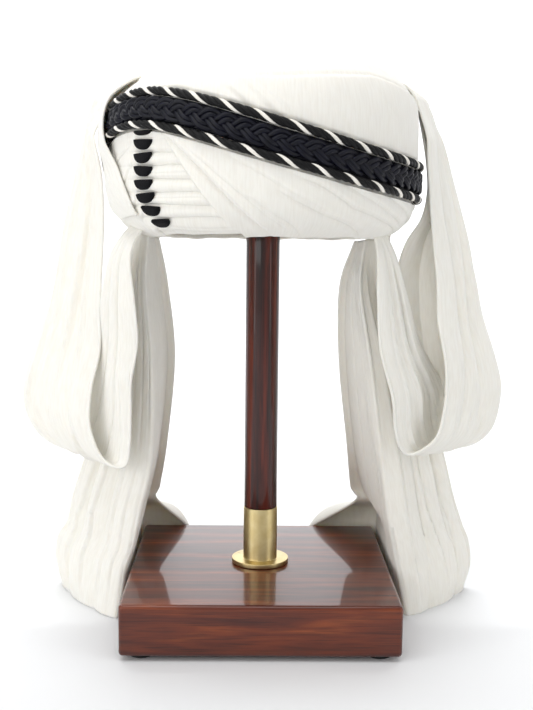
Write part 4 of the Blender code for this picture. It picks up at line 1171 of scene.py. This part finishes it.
def swept_tube(centres, lifts, radius, sides):
    """Points and map of a closed tube round a ring of centres; lifts are the surface's outward
    directions there, so that the tube doesn't twist"""
    along = np.roll(centres, -1, axis=0) - np.roll(centres, 1, axis=0)
    along /= np.linalg.norm(along, axis=1, keepdims=True)
    across = np.cross(lifts, along)
    across /= np.linalg.norm(across, axis=1, keepdims=True)
    out = np.cross(along, across)
    angle = np.linspace(0, math.tau, sides, endpoint=False)
    wide, high = (radius, radius) if np.isscalar(radius) else radius
    ring = (across[:, None, :] * (wide * np.cos(angle))[None, :, None]
            + out[:, None, :] * (high * np.sin(angle))[None, :, None])
    points = centres[:, None, :] + ring
    step = np.linalg.norm(np.diff(centres, axis=0), axis=1)
    v = np.concatenate([[0.0], np.cumsum(step)])
    u = angle * wide
    cloth_map = np.stack(np.broadcast_arrays(u[None, :], v[:, None]), -1)
    return points.reshape(-1, 3), cloth_map.reshape(-1, 2)


def tube_faces(sections, sides, first):
    """Faces of a tube that is closed both ways"""
    faces = grid_quads(sections, sides, first, closed=True)
    last = first + (sections - 1) * sides
    for k in range(sides):
        m = (k + 1) % sides
        faces.append([last + k, last + m, first + m, first + k])
    return faces


def joined_tubes(name, tubes, sides):
    """One mesh of several closed tubes"""
    points, faces, maps = [], [], []
    for place, cloth_map in tubes:
        first = sum(len(p) for p in points)
        faces += tube_faces(len(place) // sides, sides, first)
        points.append(place)
        maps.append(cloth_map)
    return make_piece(name, np.concatenate(points), faces, np.concatenate(maps))


def round_the_band(turn, across, lift):
    """Places on the band's route, and the outward direction there"""
    walk = band_walk(turn) + across / band_slant(turn)
    place = on_turban(turn, walk, lift)
    out = on_turban(turn, walk, lift + 0.001) - place
    return place, out / np.linalg.norm(out, axis=1, keepdims=True)


def plait():
    turn = np.linspace(-180, 180, PLAIT_CYCLES * STEPS_PER_CYCLE, endpoint=False)
    swing = np.radians((turn + 180) * PLAIT_CYCLES)
    slope = STRAND_SWING * PLAIT_CYCLES * math.tau / ROUND
    tubes = []
    for strand in range(3):
        phase = swing + strand * math.tau / 3
        lean = np.arctan(slope * np.cos(phase))
        for ply in (-0.5, 0.5):
            beside = ply * PLY_SPACING
            across = STRAND_SWING * np.sin(phase) + beside * np.cos(lean)
            moved = turn - np.degrees(beside * np.sin(lean) / (ROUND / math.tau))
            lift = STRAND_MIDDLE + STRAND_RISE * np.sin(2 * phase)
            place, out = round_the_band(moved, across, lift)
            tubes.append(swept_tube(place, out, PLY_RADIUS, PLY_SIDES))
    return joined_tubes("plaited_band", tubes, PLY_SIDES)


def backing():
    turn = np.linspace(-180, 180, BACKING_STEPS, endpoint=False)
    place, out = round_the_band(turn, 0.0, np.full(BACKING_STEPS, -BAND_BED + BACKING_LIFT))
    tube = swept_tube(place, out, (BAND_WIDTH / 2, BACKING_HALF_HEIGHT), BACKING_SIDES)
    return joined_tubes("band_backing", [tube], BACKING_SIDES)


seat(plait(), navy_satin, "band", "plait_band")
seat(backing(), navy_satin, "band", "plait_band")

# %% [markdown]
# A cord runs along each edge of the band. It is laid from four plies, three black and one
# thinner white one, which shows as short slanting dashes. Each ply is a helix round the cord's
# middle, and the lay is set so that the dashes fall as they do in front.
# %% Twisted cords
CORD_TURNS = 32
STEPS_PER_TURN = 18
PLIES = 4
CORD_LAY_RADIUS = 0.00152
BLACK_PLY = 0.00158
WHITE_PLY = 0.00128
WHITE_LAY_RADIUS = 0.00178


def cord(name, way, white_turn):
    """The black plies and the white ply of a cord above the band (way 1) or below it (-1)"""
    turn = np.linspace(-180, 180, CORD_TURNS * STEPS_PER_TURN, endpoint=False)
    middle = way * (BAND_WIDTH / 2 + SEAT_GAP + CORD_DIAMETER / 2)
    angle = np.radians((turn - white_turn) * CORD_TURNS) + math.pi / 2
    plies = {"white": [], "black": []}
    for ply in range(PLIES):
        colour = "black" if ply else "white"
        round_cord = WHITE_LAY_RADIUS if ply == 0 else CORD_LAY_RADIUS
        here = angle + ply * math.tau / PLIES
        lift = CORD_DIAMETER / 2 - BAND_BED + LAY_GAP / 2 + round_cord * np.sin(here)
        place, out = round_the_band(turn, middle + round_cord * np.cos(here), lift)
        plies[colour].append(swept_tube(place, out, BLACK_PLY if ply else WHITE_PLY, PLY_SIDES))
    return (joined_tubes(name + "_black_plies", plies["black"], PLY_SIDES),
            joined_tubes(name + "_white_ply", plies["white"], PLY_SIDES))


for name, way, white_turn in (("upper_cord", 1, -90.7), ("lower_cord", -1, -94.6)):
    black, white = cord(name, way, white_turn)
    seat(black, black_yarn, "cords", name)
    seat(white, white_yarn, "cords", name)

# %% [markdown]
# Eight felt tabs hang down the pleats' left end, one to a pleat, each a half-moon with its
# straight edge up. A tab is rings of points from its middle out to its outline, higher in the
# middle, so that it looks soft and stitched down. The band's cord half covers the first.
# %% Felt tabs
PETAL_WIDTH = 0.0212
PETAL_HEIGHT = 0.0074
PETAL_PUFF = 0.0021
PETAL_TURN = -136.0
PETAL_DRIFT = (0.0, 0.0, 0.0, 0.0, 0.0, 0.5, 2.0, 4.0)
PETAL_LEANS = (0.0, 0.02, -0.03, 0.03, 0.0, -0.03, 0.04, -0.02)
TAB_MIDDLE = 0.42  # share of the height down to the puff's top
TAB_DIP = 0.07  # how far the ends of the straight edge hang
TAB_RINGS = 12
TAB_SIDES = 48


def felt_tab(number):
    """One tab, counted from the band down; the first is half covered, so it is short"""
    middle = PETAL_TURN + PETAL_DRIFT[number - 1]
    height = PLEATS_TOP + PLEAT_PITCH * (3 - number)
    top = float(walk_at(middle, height / WOUND_HEIGHT / 1000)) - SEAT_GAP
    tall = PETAL_HEIGHT
    if number == 1:
        top = float(band_edge(middle, -1)) - LAY_GAP
        second = float(walk_at(middle, (PLEATS_TOP + PLEAT_PITCH) / WOUND_HEIGHT / 1000))
        tall = min(PETAL_HEIGHT / 2, top - second - SEAT_GAP)
    angle = np.linspace(0, math.tau, TAB_SIDES, endpoint=False)
    side, down = np.cos(angle), np.sin(angle)
    x = 0.5 * np.sign(side) * np.abs(side) ** 0.75
    y = np.where(down >= 0, TAB_DIP + (1 - TAB_DIP) * np.abs(down) ** 1.1,
                 TAB_DIP - TAB_DIP * np.abs(down) ** 0.4)
    ring = np.linspace(1, 0.08, TAB_RINGS)[:, None]
    across, fall = x[None, :] * ring, TAB_MIDDLE + (y[None, :] - TAB_MIDDLE) * ring
    fall = fall + PETAL_LEANS[number - 1] * across * 4
    puff = PETAL_PUFF * (1 - ring ** 4) ** 0.5 * (1 - 0.25 * fall)
    turn = middle + across * math.degrees(PETAL_WIDTH / HALF_DEPTH)
    walk = top - fall * tall
    outer = on_turban(turn, walk, LAY_GAP + puff)
    inner = on_turban(turn, walk, np.full(walk.shape, -LAY_GAP))
    size = TAB_RINGS * TAB_SIDES
    ends = [on_turban(middle, top - TAB_MIDDLE * tall, LAY_GAP + PETAL_PUFF * 0.9),
            on_turban(middle, top - TAB_MIDDLE * tall, -LAY_GAP)]
    points = np.concatenate([outer.reshape(-1, 3), inner.reshape(-1, 3), ends])
    faces = grid_quads(TAB_RINGS, TAB_SIDES, closed=True)
    faces += [quad[::-1] for quad in grid_quads(TAB_RINGS, TAB_SIDES, size, closed=True)]
    last = size - TAB_SIDES
    for k in range(TAB_SIDES):
        m = (k + 1) % TAB_SIDES
        faces += [[k, m, size + m, size + k], [last + k, last + m, 2 * size],
                  [size + last + m, size + last + k, 2 * size + 1]]
    cloth_map = np.concatenate([points[:, :1], points[:, 2:]], axis=1)
    return make_piece(f"felt_tab_{number}", points, faces, cloth_map)


for number in range(1, 9):
    seat(felt_tab(number), felt, "petals", f"petal_{number}")

# %% [markdown]
# On each side a broad band of the turban's cloth falls from the crown's shoulder, turns near
# the floor, and comes back up to be tucked under the rim. We draw it as rows across the band,
# each with its place, width and turn, and run a smooth surface through them. A simulation
# could hang such a loop too, but it wouldn't stop where the picture has it. Its folds run down
# it: rounded on top, sharp in the valley, and never all alike. At the shoulder the cloth is
# tucked into the crown, and its front hem lies on the crown and over the band.
# %% Hanging loops
LOOP_DROP = 0.276
LOOP_REACH = 0.062
LOOP_WIDTH = 0.090
LOOP_START = 0.806
LOOP_ROOTS = ((0.95, -0.0045), (0.89, -0.0008))  # height and lift of the tucked rows
LOOP_TURN = 15.0
LOOP_SPREAD = 44.0
LOOP_ROWS = 210
LOOP_COLUMNS = 84
LOOP_FOLD_DEPTH = 0.0030
LOOP_FOLD_COUNT = 3
LOOP_FOLD_DRIFT = 5
TUCK_GAP = 0.0007
WIDEST = 0.985
HEM_LIFTS = ((0.80, 0.87, 0.94), (0.0022, 0.0008, -0.0040))  # heights and lifts there
HEM_TURN = 0.26
SHOULDER_TURN = 0.75
SHOULDER = (0.80, 0.90)
HEM_FREE, HEM_HELD = 0.58, 0.76
LEFT_LOOP = (
    # drop, out, deep, width, splay, tilt, fold
    (-0.012, 0.115, 0.15, 0.66, 8, 0.00, 0.1), (0.028, 0.250, 0.15, 0.68, 9, 0.00, 0.2),
    (0.069, 0.295, 0.15, 0.70, 10, 0.00, 0.3), (0.116, 0.310, 0.14, 0.75, 13, 0.00, 0.4),
    (0.221, 0.325, 0.13, 0.86, 23, 0.00, 0.7), (0.362, 0.395, 0.12, 0.89, 31, 0.00, 1.0),
    (0.558, 0.510, 0.10, 0.91, 35, 0.00, 1.0), (0.685, 0.600, 0.08, 0.93, 42, 0.00, 1.0),
    (0.793, 0.710, 0.04, 0.95, 45, 0.00, 0.8), (0.875, 0.730, 0.01, 0.95, 45, 0.02, 0.6),
    (0.935, 0.650, -0.02, 0.93, 45, 0.05, 0.4), (0.978, 0.520, -0.04, 0.91, 44, 0.06, 0.2),
    (1.000, 0.330, -0.07, 0.88, 43, 0.05, 0.1), (0.985, 0.160, -0.12, 0.84, 41, 0.05, 0.1),
    (0.920, 0.075, -0.18, 0.80, 39, 0.04, 0.3), (0.840, 0.010, -0.25, 0.74, 36, 0.02, 0.4),
    (0.757, -0.030, -0.31, 0.70, 34, 0.00, 0.6), (0.652, -0.090, -0.37, 0.70, 34, 0.00, 0.8),
    (0.540, -0.125, -0.46, 0.60, 33, 0.00, 0.8), (0.442, -0.170, -0.53, 0.40, 33, 0.00, 0.5),
    (0.388, -0.260, -0.55, 0.26, 36, 0.00, 0.3))
RIGHT_LOOP = (
    # drop, out, deep, width, splay, tilt, fold
    (-0.020, 0.020, 0.15, 0.66, 14, 0.00, 0.1), (0.020, 0.140, 0.15, 0.68, 15, 0.00, 0.2),
    (0.069, 0.220, 0.15, 0.70, 16, 0.00, 0.3), (0.116, 0.280, 0.14, 0.75, 20, 0.00, 0.4),
    (0.214, 0.350, 0.13, 0.85, 24, 0.00, 0.7), (0.380, 0.500, 0.11, 0.88, 31, 0.00, 1.0),
    (0.493, 0.600, 0.10, 0.90, 33, 0.00, 1.0), (0.605, 0.670, 0.08, 0.91, 34, 0.00, 1.0),
    (0.721, 0.790, 0.06, 0.93, 37, 0.00, 0.8), (0.804, 0.830, 0.03, 0.94, 41, 0.00, 0.6),
    (0.870, 0.800, 0.01, 0.94, 42, -0.02, 0.5), (0.925, 0.720, -0.02, 0.93, 42, -0.05, 0.3),
    (0.960, 0.560, -0.04, 0.90, 42, -0.07, 0.1), (0.975, 0.360, -0.07, 0.86, 41, -0.07, 0.0),
    (0.955, 0.220, -0.12, 0.84, 40, -0.04, 0.1), (0.890, 0.130, -0.17, 0.86, 39, 0.00, 0.3),
    (0.797, 0.060, -0.25, 0.84, 38, 0.00, 0.5), (0.667, -0.180, -0.36, 0.66, 35, 0.00, 0.8),
    (0.529, -0.310, -0.42, 0.52, 34, 0.00, 0.8), (0.431, -0.400, -0.48, 0.38, 32, 0.00, 0.5))
LEFT_TUCK = {"out": -0.38, "deep": -0.53, "width": 0.18, "splay": 38}
RIGHT_TUCK = {"out": -0.50, "deep": -0.52, "width": 0.20, "splay": 34}
LEFT_LOOP_FOLDS = (
    # lip height, short side, long side, line in (percent of the width, percent of the way)
    (2.75, 2.88, 12.0, ((20, 0), (24, 12), (18, 28), (26, 44))),
    (3.0, 2.88, 12.0, ((46, 0), (50, 15), (42, 30), (52, 48))),
    (2.5, 2.88, 10.0, ((74, 2), (70, 16), (76, 30), (70, 46))),
    (3.25, 2.88, 10.0, ((88, 20), (84, 32), (90, 48), (80, 58))),
    (2.75, 2.88, 10.0, ((30, 50), (40, 60), (34, 74), (42, 92))),
    (2.5, 2.88, 10.0, ((66, 56), (72, 68), (64, 80), (60, 94))),
    (1.75, 2.52, 7.0, ((10, 60), (16, 70), (22, 84), (28, 96))),
)
RIGHT_LOOP_FOLDS = (
    (2.75, 2.88, 12.0, ((80, 0), (76, 12), (84, 26), (76, 42))),
    (3.25, 2.88, 14.0, ((52, 0), (46, 16), (54, 30), (48, 46))),
    (2.75, 2.88, 12.0, ((24, 2), (30, 18), (22, 32), (30, 48))),
    (2.0, 2.52, 8.0, ((64, 8), (62, 22), (66, 36))),
    (2.75, 2.88, 10.0, ((20, 54), (28, 64), (24, 78), (34, 96))),
    (2.75, 2.88, 10.0, ((44, 52), (52, 66), (46, 80), (50, 96))),
    (2.75, 2.88, 10.0, ((74, 54), (70, 66), (76, 80), (68, 96))),
    (1.5, 0.7, 2.6, ((70, 94), (66, 84), (72, 72), (78, 62))),
    (1.5, 0.7, 2.6, ((77, 92), (74, 84), (79, 74), (84, 66))),
    (1.4, 0.7, 2.6, ((84, 90), (82, 82), (86, 74), (89, 68))),
    (1.3, 0.7, 2.6, ((91, 88), (90, 80), (93, 74), (95, 70))),
)


def under_rim(x, y):
    """Height of the wound form's underside over a place"""
    out = np.minimum(np.hypot(x / HALF_WIDTH, y / HALF_DEPTH), WIDEST)
    down = (1 - out ** RIM_SQUARE) ** (1 / RIM_SQUARE)
    return BELLY_Z - down * (RIM_DROP + RIM_LEAN * y / HALF_DEPTH)


def cloth_folds(x, amount, drift):
    """Folds across a hanging cloth, -1 in the valleys and 1 on the rounded tops"""
    swing = np.abs(np.sin(math.pi * (x + 0.16 * np.sin(math.tau * 0.37 * x + drift))))
    return amount * (2 * swing ** 0.75 - 1)


def folded_sheet(name, grid, folds, percent):
    """A cloth wall about a grid, moved by folds drawn in percent of its width and length"""
    width = np.linalg.norm(np.diff(grid, axis=1), axis=2).sum(axis=1)
    length = np.linalg.norm(np.diff(grid, axis=0), axis=2).sum(axis=0)
    scale = (float(width.max()) * 10, float(length.mean()) * 10)
    places = percent * scale
    lines = [(depth, short, long, [(x * scale[0], y * scale[1]) for x, y in line])
             for depth, short, long, line in folds]
    grid = grid + grid_normals(grid) * fold_relief(places, lines)[..., None]
    half = grid_normals(grid) * CLOTH_THICKNESS / 2
    return wall_between(name, grid + half, grid - half), grid


def percent_grid(rows, columns):
    """Percent of the width and of the length at each point of a grid"""
    across, down = np.linspace(0, 100, columns)[None, :], np.linspace(0, 100, rows)[:, None]
    return np.stack(np.broadcast_arrays(across, down), -1)


def hem_to_crown(grid, spread):
    """Near the shoulder the front hem turns in and lies on the crown, and higher up the whole
    cloth does"""
    share = (grid[..., 2] - RIM_Z) / WOUND_HEIGHT
    turn = np.degrees(np.arctan2(grid[..., 1] / HALF_DEPTH, grid[..., 0] / HALF_WIDTH))
    lift = np.interp(share, *HEM_LIFTS)
    there = on_turban(turn, walk_at(turn, np.clip(share, 0.3, 0.95)), lift)
    reach = np.interp(share, SHOULDER, (HEM_TURN, SHOULDER_TURN))
    weight = np.exp(-((spread[None, :] + 0.5) / reach) ** 2)
    weight = weight * np.clip((share - HEM_FREE) / (HEM_HELD - HEM_FREE), 0, 1)
    return grid + (there - grid) * weight[..., None]


def hanging_loop(name, node, way, rows, tuck, folds):
    """A loop on one side: -1 is the picture's left, 1 its right"""
    spread = np.linspace(-0.5, 0.5, LOOP_COLUMNS)
    top = float(on_turban(0.0, walk_at(0.0, LOOP_START))[2])
    sections = []
    for share, lift in LOOP_ROOTS:
        turn = LOOP_TURN + LOOP_SPREAD * spread
        turn = turn if way > 0 else 180 - turn
        sections.append(on_turban(turn, walk_at(turn, share),
                                  LAY_GAP + CLOTH_THICKNESS / 2 + lift))
    for drop, out, deep, width, splay, tilt, fold in rows:
        angle = math.radians(splay)
        centre = np.array([way * (HALF_WIDTH + out * LOOP_REACH), deep * LOOP_WIDTH,
                           top - drop * LOOP_DROP])
        run = np.array([way * math.sin(angle), math.cos(angle), 0.0])
        off = np.array([way * math.cos(angle), -math.sin(angle), 0.0])
        wave = cloth_folds(LOOP_FOLD_COUNT * (spread + 0.5), fold * LOOP_FOLD_DEPTH,
                           drop * LOOP_FOLD_DRIFT)
        section = centre + np.outer(spread * width * LOOP_WIDTH, run) + np.outer(wave, off)
        section[:, 2] += tilt * spread * LOOP_WIDTH
        sections.append(section)
    angle = math.radians(tuck["splay"])
    side = spread * tuck["width"] * LOOP_WIDTH
    x = way * (HALF_WIDTH + tuck["out"] * LOOP_REACH + math.sin(angle) * side)
    y = tuck["deep"] * LOOP_WIDTH + math.cos(angle) * side
    sections.append(np.stack([x, y, under_rim(x, y) - TUCK_GAP], -1))
    grid = hem_to_crown(smooth_rows(sections, LOOP_ROWS), spread)
    piece, grid = folded_sheet(name, grid, folds, percent_grid(LOOP_ROWS, LOOP_COLUMNS))
    seat_cloth(piece, grid, node)


hanging_loop("left_loop_cloth", "left_loop", -1, LEFT_LOOP, LEFT_TUCK, LEFT_LOOP_FOLDS)
hanging_loop("right_loop_cloth", "right_loop", 1, RIGHT_LOOP, RIGHT_TUCK, RIGHT_LOOP_FOLDS)

# %% [markdown]
# On the right a second, narrower layer of the same cloth hangs inside the loop. It fills the
# space between the loop's two strands, in their shade. Since little of it shows, it is drawn by
# its two edges alone, and its folds start shallow at the top.
# %% Inner layer of the right loop
INNER_LAYER = (
    # height, left edge x and y, right edge x and y, in millimetres
    (396, 117.0, -2, 121, 24), (375, 120.5, -8, 130, 22), (355, 123.5, -10, 136, 18),
    (335, 124.5, -10, 142, 13), (315, 121.0, -8, 146, 10), (295, 110.0, -2, 148, 8),
    (270, 104.5, 3, 149, 6), (240, 106.5, 5, 151, 4), (205, 112.0, 7, 155, 4),
    (190, 117.0, 8, 157, 6), (177, 122.0, 9, 158, 7))
INNER_ROWS, INNER_COLUMNS = 150, 44
INNER_FOLDS = 2.5
INNER_DRIFT = 0.7
INNER_FOLD_DEPTH = 0.0016


def inner_layer(rows, columns):
    """A wall between two edges, and the grid of its middle"""
    table = smooth_rows(INNER_LAYER, rows) / 1000
    share = np.linspace(0, 1, columns)
    left = table[:, [1, 2, 0]][:, None, :]
    right = table[:, [3, 4, 0]][:, None, :]
    grid = left + (right - left) * share[None, :, None]
    wave = cloth_folds(INNER_FOLDS * share, INNER_FOLD_DEPTH, INNER_DRIFT)
    grow = np.clip(np.linspace(-0.4, 2.5, rows), 0, 1)[:, None]
    grid = grid + grid_normals(grid) * (wave[None, :] * grow)[..., None]
    half = grid_normals(grid) * CLOTH_THICKNESS / 2
    return wall_between("right_loop_inner_layer", grid + half, grid - half), grid


layer, grid = inner_layer(INNER_ROWS, INNER_COLUMNS)
seat_cloth(layer, grid, "right_loop")

# %% [markdown]
# The turban's two ends hang in front of the loops. Each is folded lengthwise, with the fold
# forwards: one flank spreads out beside the base, the other runs along the base and curls round
# its back corner. It is drawn as plans at several heights, from the rim down to the floor. The
# corner at the fold is smoothed into a soft crease, and the layers' hems are thin folds by it.
# %% Hanging tails
BASE_HALF = 0.1015
BASE_TOP = 0.0418
CURL_RISE = 0.016
CORNER_GAP = 0.0045
TAIL_REACH = 0.110
FLOOR_GAP = 0.0015
HOOK_HEADINGS = (-60.0, -85.0, -100.0, -118.0)
OUTER_BULGE = 16.0
RIPPLE_DEPTH = 0.0035
RIPPLE_COUNT = 3
TAIL_ROWS = 176
STEPS_IN, STEPS_HOOK, STEPS_OUT = 50, 28, 84
CREASE_PASSES, CREASE_REACH = 14, 9.0
RIPPLE_DRIFT = 1.3
RIPPLE_START = 6  # the ripples are whole from a sixth of the flank on
LEFT_TAIL = (
    # level, fold out, fold deep, outer run, splay, inner run, hook run, lean, ripple
    (2.00, 0.733, -0.28, 0.20, 34, 0.11, 0.04, 8, 0.0),
    (1.85, 0.773, -0.24, 0.28, 35, 0.24, 0.06, 14, 0.2),
    (1.60, 0.757, -0.21, 0.54, 37, 0.38, 0.06, 8, 0.8),
    (1.30, 0.794, -0.21, 0.78, 42, 0.50, 0.06, 0, 1.0),
    (1.12, 0.897, -0.21, 0.86, 42, 0.70, 0.08, -1, 1.0),
    (1.06, 0.932, -0.21, 0.89, 41, 0.74, 0.10, -2, 0.9),
    (1.00, 0.970, -0.21, 0.92, 40, 1.00, 0.41, 0, 0.8),
    (0.72, 1.025, -0.21, 0.99, 39, 1.00, 0.43, 0, 0.6),
    (0.35, 1.059, -0.21, 1.02, 37, 1.00, 0.42, 0, 0.5),
    (0.00, 1.100, -0.21, 0.98, 33, 1.00, 0.40, 0, 0.4))
RIGHT_TAIL = (
    # the same columns
    (2.00, 0.655, -0.15, 0.32, 40, 0.11, 0.04, 8, 0.0),
    (1.85, 0.646, -0.14, 0.36, 41, 0.24, 0.06, 12, 0.2),
    (1.60, 0.753, -0.13, 0.55, 43, 0.38, 0.06, 17, 0.8),
    (1.30, 0.879, -0.13, 0.72, 46, 0.50, 0.06, 14, 1.0),
    (1.12, 0.959, -0.13, 0.80, 46, 0.70, 0.10, 7, 1.0),
    (1.06, 0.991, -0.13, 0.83, 46, 0.72, 0.14, 3, 0.9),
    (1.00, 1.028, -0.13, 0.86, 46, 1.00, 0.58, 0, 0.8),
    (0.72, 1.059, -0.13, 0.90, 46, 1.00, 0.60, 0, 0.6),
    (0.35, 1.103, -0.13, 0.91, 44, 1.00, 0.60, 0, 0.5),
    (0.00, 1.143, -0.13, 0.86, 40, 1.00, 0.58, 0, 0.4))
LEFT_TAIL_FOLDS = (
    # lip height, short side, long side, line in (percent of the width, percent of the way down)
    (1.6, 1.2, 4.0, ((51, 2), (51, 40), (50, 98))),
    (1.5, 1.0, 4.0, ((55, 2), (56, 45), (55, 98))),
    (2.0, 1.8, 9.0, ((62, 4), (63, 40), (62, 98))),
    (2.4, 2.4, 11.0, ((72, 10), (76, 50), (72, 98))),
    (2.0, 2.4, 11.0, ((84, 16), (88, 60), (86, 98))),
    (1.6, 2.0, 8.0, ((92, 30), (94, 70), (93, 98))),
    (1.8, 1.6, 5.0, ((45, 1), (44, 35), (43, 80))),
    (1.8, 1.6, 5.0, ((39, 1), (37, 35), (37, 70))),
    (1.6, 1.6, 5.0, ((32, 1), (30, 35), (31, 60))),
    (1.4, 1.6, 5.0, ((25, 2), (24, 30), (26, 55))),
)
RIGHT_TAIL_FOLDS = (
    (1.8, 0.8, 2.6, ((50, 1), (49.5, 40), (49, 99))),
    (1.8, 0.8, 2.6, ((47.0, 1), (46.2, 40), (45.6, 99))),
    (1.8, 0.8, 2.6, ((44.0, 1), (43.0, 40), (42.4, 99))),
    (1.6, 0.8, 2.6, ((41.0, 1), (39.6, 40), (39.0, 90))),
    (1.8, 2.0, 9.0, ((58, 4), (58, 40), (57, 98))),
    (2.6, 2.6, 12.0, ((70, 10), (72, 45), (76, 98))),
    (2.0, 2.4, 11.0, ((82, 14), (86, 60), (84, 98))),
    (1.6, 2.0, 8.0, ((92, 30), (94, 70), (92, 98))),
    (1.4, 2.0, 6.0, ((31, 1), (29, 35), (31, 60))),
)
HOOK_FALL, HOOK_BEND = 0.34, 5


def tail_plan(way, row):
    """Plan of a tail at one level: the hook behind the base, the inner flank, the fold in
    front, then the outer flank"""
    level, out, deep, outer_run, splay, inner_run, hook_run, lean, ripple = row
    half_x = np.interp(level, (0, 1, 2), (BASE_HALF, BASE_HALF, HALF_WIDTH))
    half_y = np.interp(level, (0, 1, 2), (BASE_HALF, BASE_HALF, HALF_DEPTH))
    start = np.array([way * out * half_x, deep * half_y])
    corner = np.array([way, 1.0]) * (BASE_HALF + CORNER_GAP)
    end = corner
    if level > 1:
        run = np.array([-way * math.sin(math.radians(lean)), math.cos(math.radians(lean))])
        end = start + inner_run * np.linalg.norm(corner - start) * run
    share = np.arange(1, STEPS_IN + 1)[:, None] / STEPS_IN
    inner = start + (end - start) * share
    place = (np.arange(STEPS_HOOK) + 0.5) / STEPS_HOOK * 4 - 0.5
    heading = np.radians(np.interp(place, range(4), HOOK_HEADINGS))
    steps = np.stack([way * np.sin(heading), np.cos(heading)], -1)
    hook = end + np.cumsum(steps, axis=0) * hook_run * TAIL_REACH / STEPS_HOOK
    share = (np.arange(STEPS_OUT) + 0.5) / STEPS_OUT
    heading = np.radians(splay + OUTER_BULGE * (1 - 2 * share))
    steps = np.stack([way * np.sin(heading), np.cos(heading)], -1)
    sideways = np.stack([way * np.cos(heading), -np.sin(heading)], -1)
    wave = cloth_folds(RIPPLE_COUNT * share, ripple * RIPPLE_DEPTH, level * RIPPLE_DRIFT)
    wave *= np.clip(share * RIPPLE_START, 0, 1)
    outer = start + np.cumsum(steps, axis=0) * outer_run * TAIL_REACH / STEPS_OUT
    outer = outer + sideways * wave[:, None]
    plan = np.concatenate([hook[::-1], inner[::-1], start[None, :], outer])
    fold = STEPS_HOOK + STEPS_IN
    near = np.exp(-((np.arange(len(plan)) - fold) / CREASE_REACH) ** 2)[1:-1, None]
    for _ in range(CREASE_PASSES):
        plan[1:-1] += near * 0.5 * ((plan[:-2] + plan[2:]) / 2 - plan[1:-1])
    return plan


def hanging_tail(name, node, way, rows, folds):
    """A tail from its plans: levels 0 to 1 are the floor to the curl's crest, 2 is the rim"""
    crest = BASE_TOP + CURL_RISE
    rim_plan = tail_plan(way, rows[0])
    rim = under_rim(rim_plan[:, 0], rim_plan[:, 1]) - LAY_GAP
    sections = []
    for row in rows:
        low, high = (FLOOR_GAP, crest) if row[0] <= 1 else (crest, rim)
        share = row[0] if row[0] <= 1 else row[0] - 1
        height = low + (high - low) * share + 0 * rim
        if row[0] <= 1:
            height[:STEPS_HOOK] *= 1 - HOOK_FALL * np.linspace(1, 0, STEPS_HOOK) ** HOOK_BEND
        sections.append(np.concatenate([tail_plan(way, row), height[:, None]], axis=1))
    grid = smooth_rows(sections, TAIL_ROWS)
    piece, grid = folded_sheet(name, grid, folds, percent_grid(TAIL_ROWS, grid.shape[1]))
    seat_cloth(piece, grid, node)


hanging_tail("left_tail_cloth", "left_tail", -1, LEFT_TAIL, LEFT_TAIL_FOLDS)
hanging_tail("right_tail_cloth", "right_tail", 1, RIGHT_TAIL, RIGHT_TAIL_FOLDS)

low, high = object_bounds()
print("visual size in mm:", [round((b - a) * 1000, 1) for a, b in zip(low, high)])
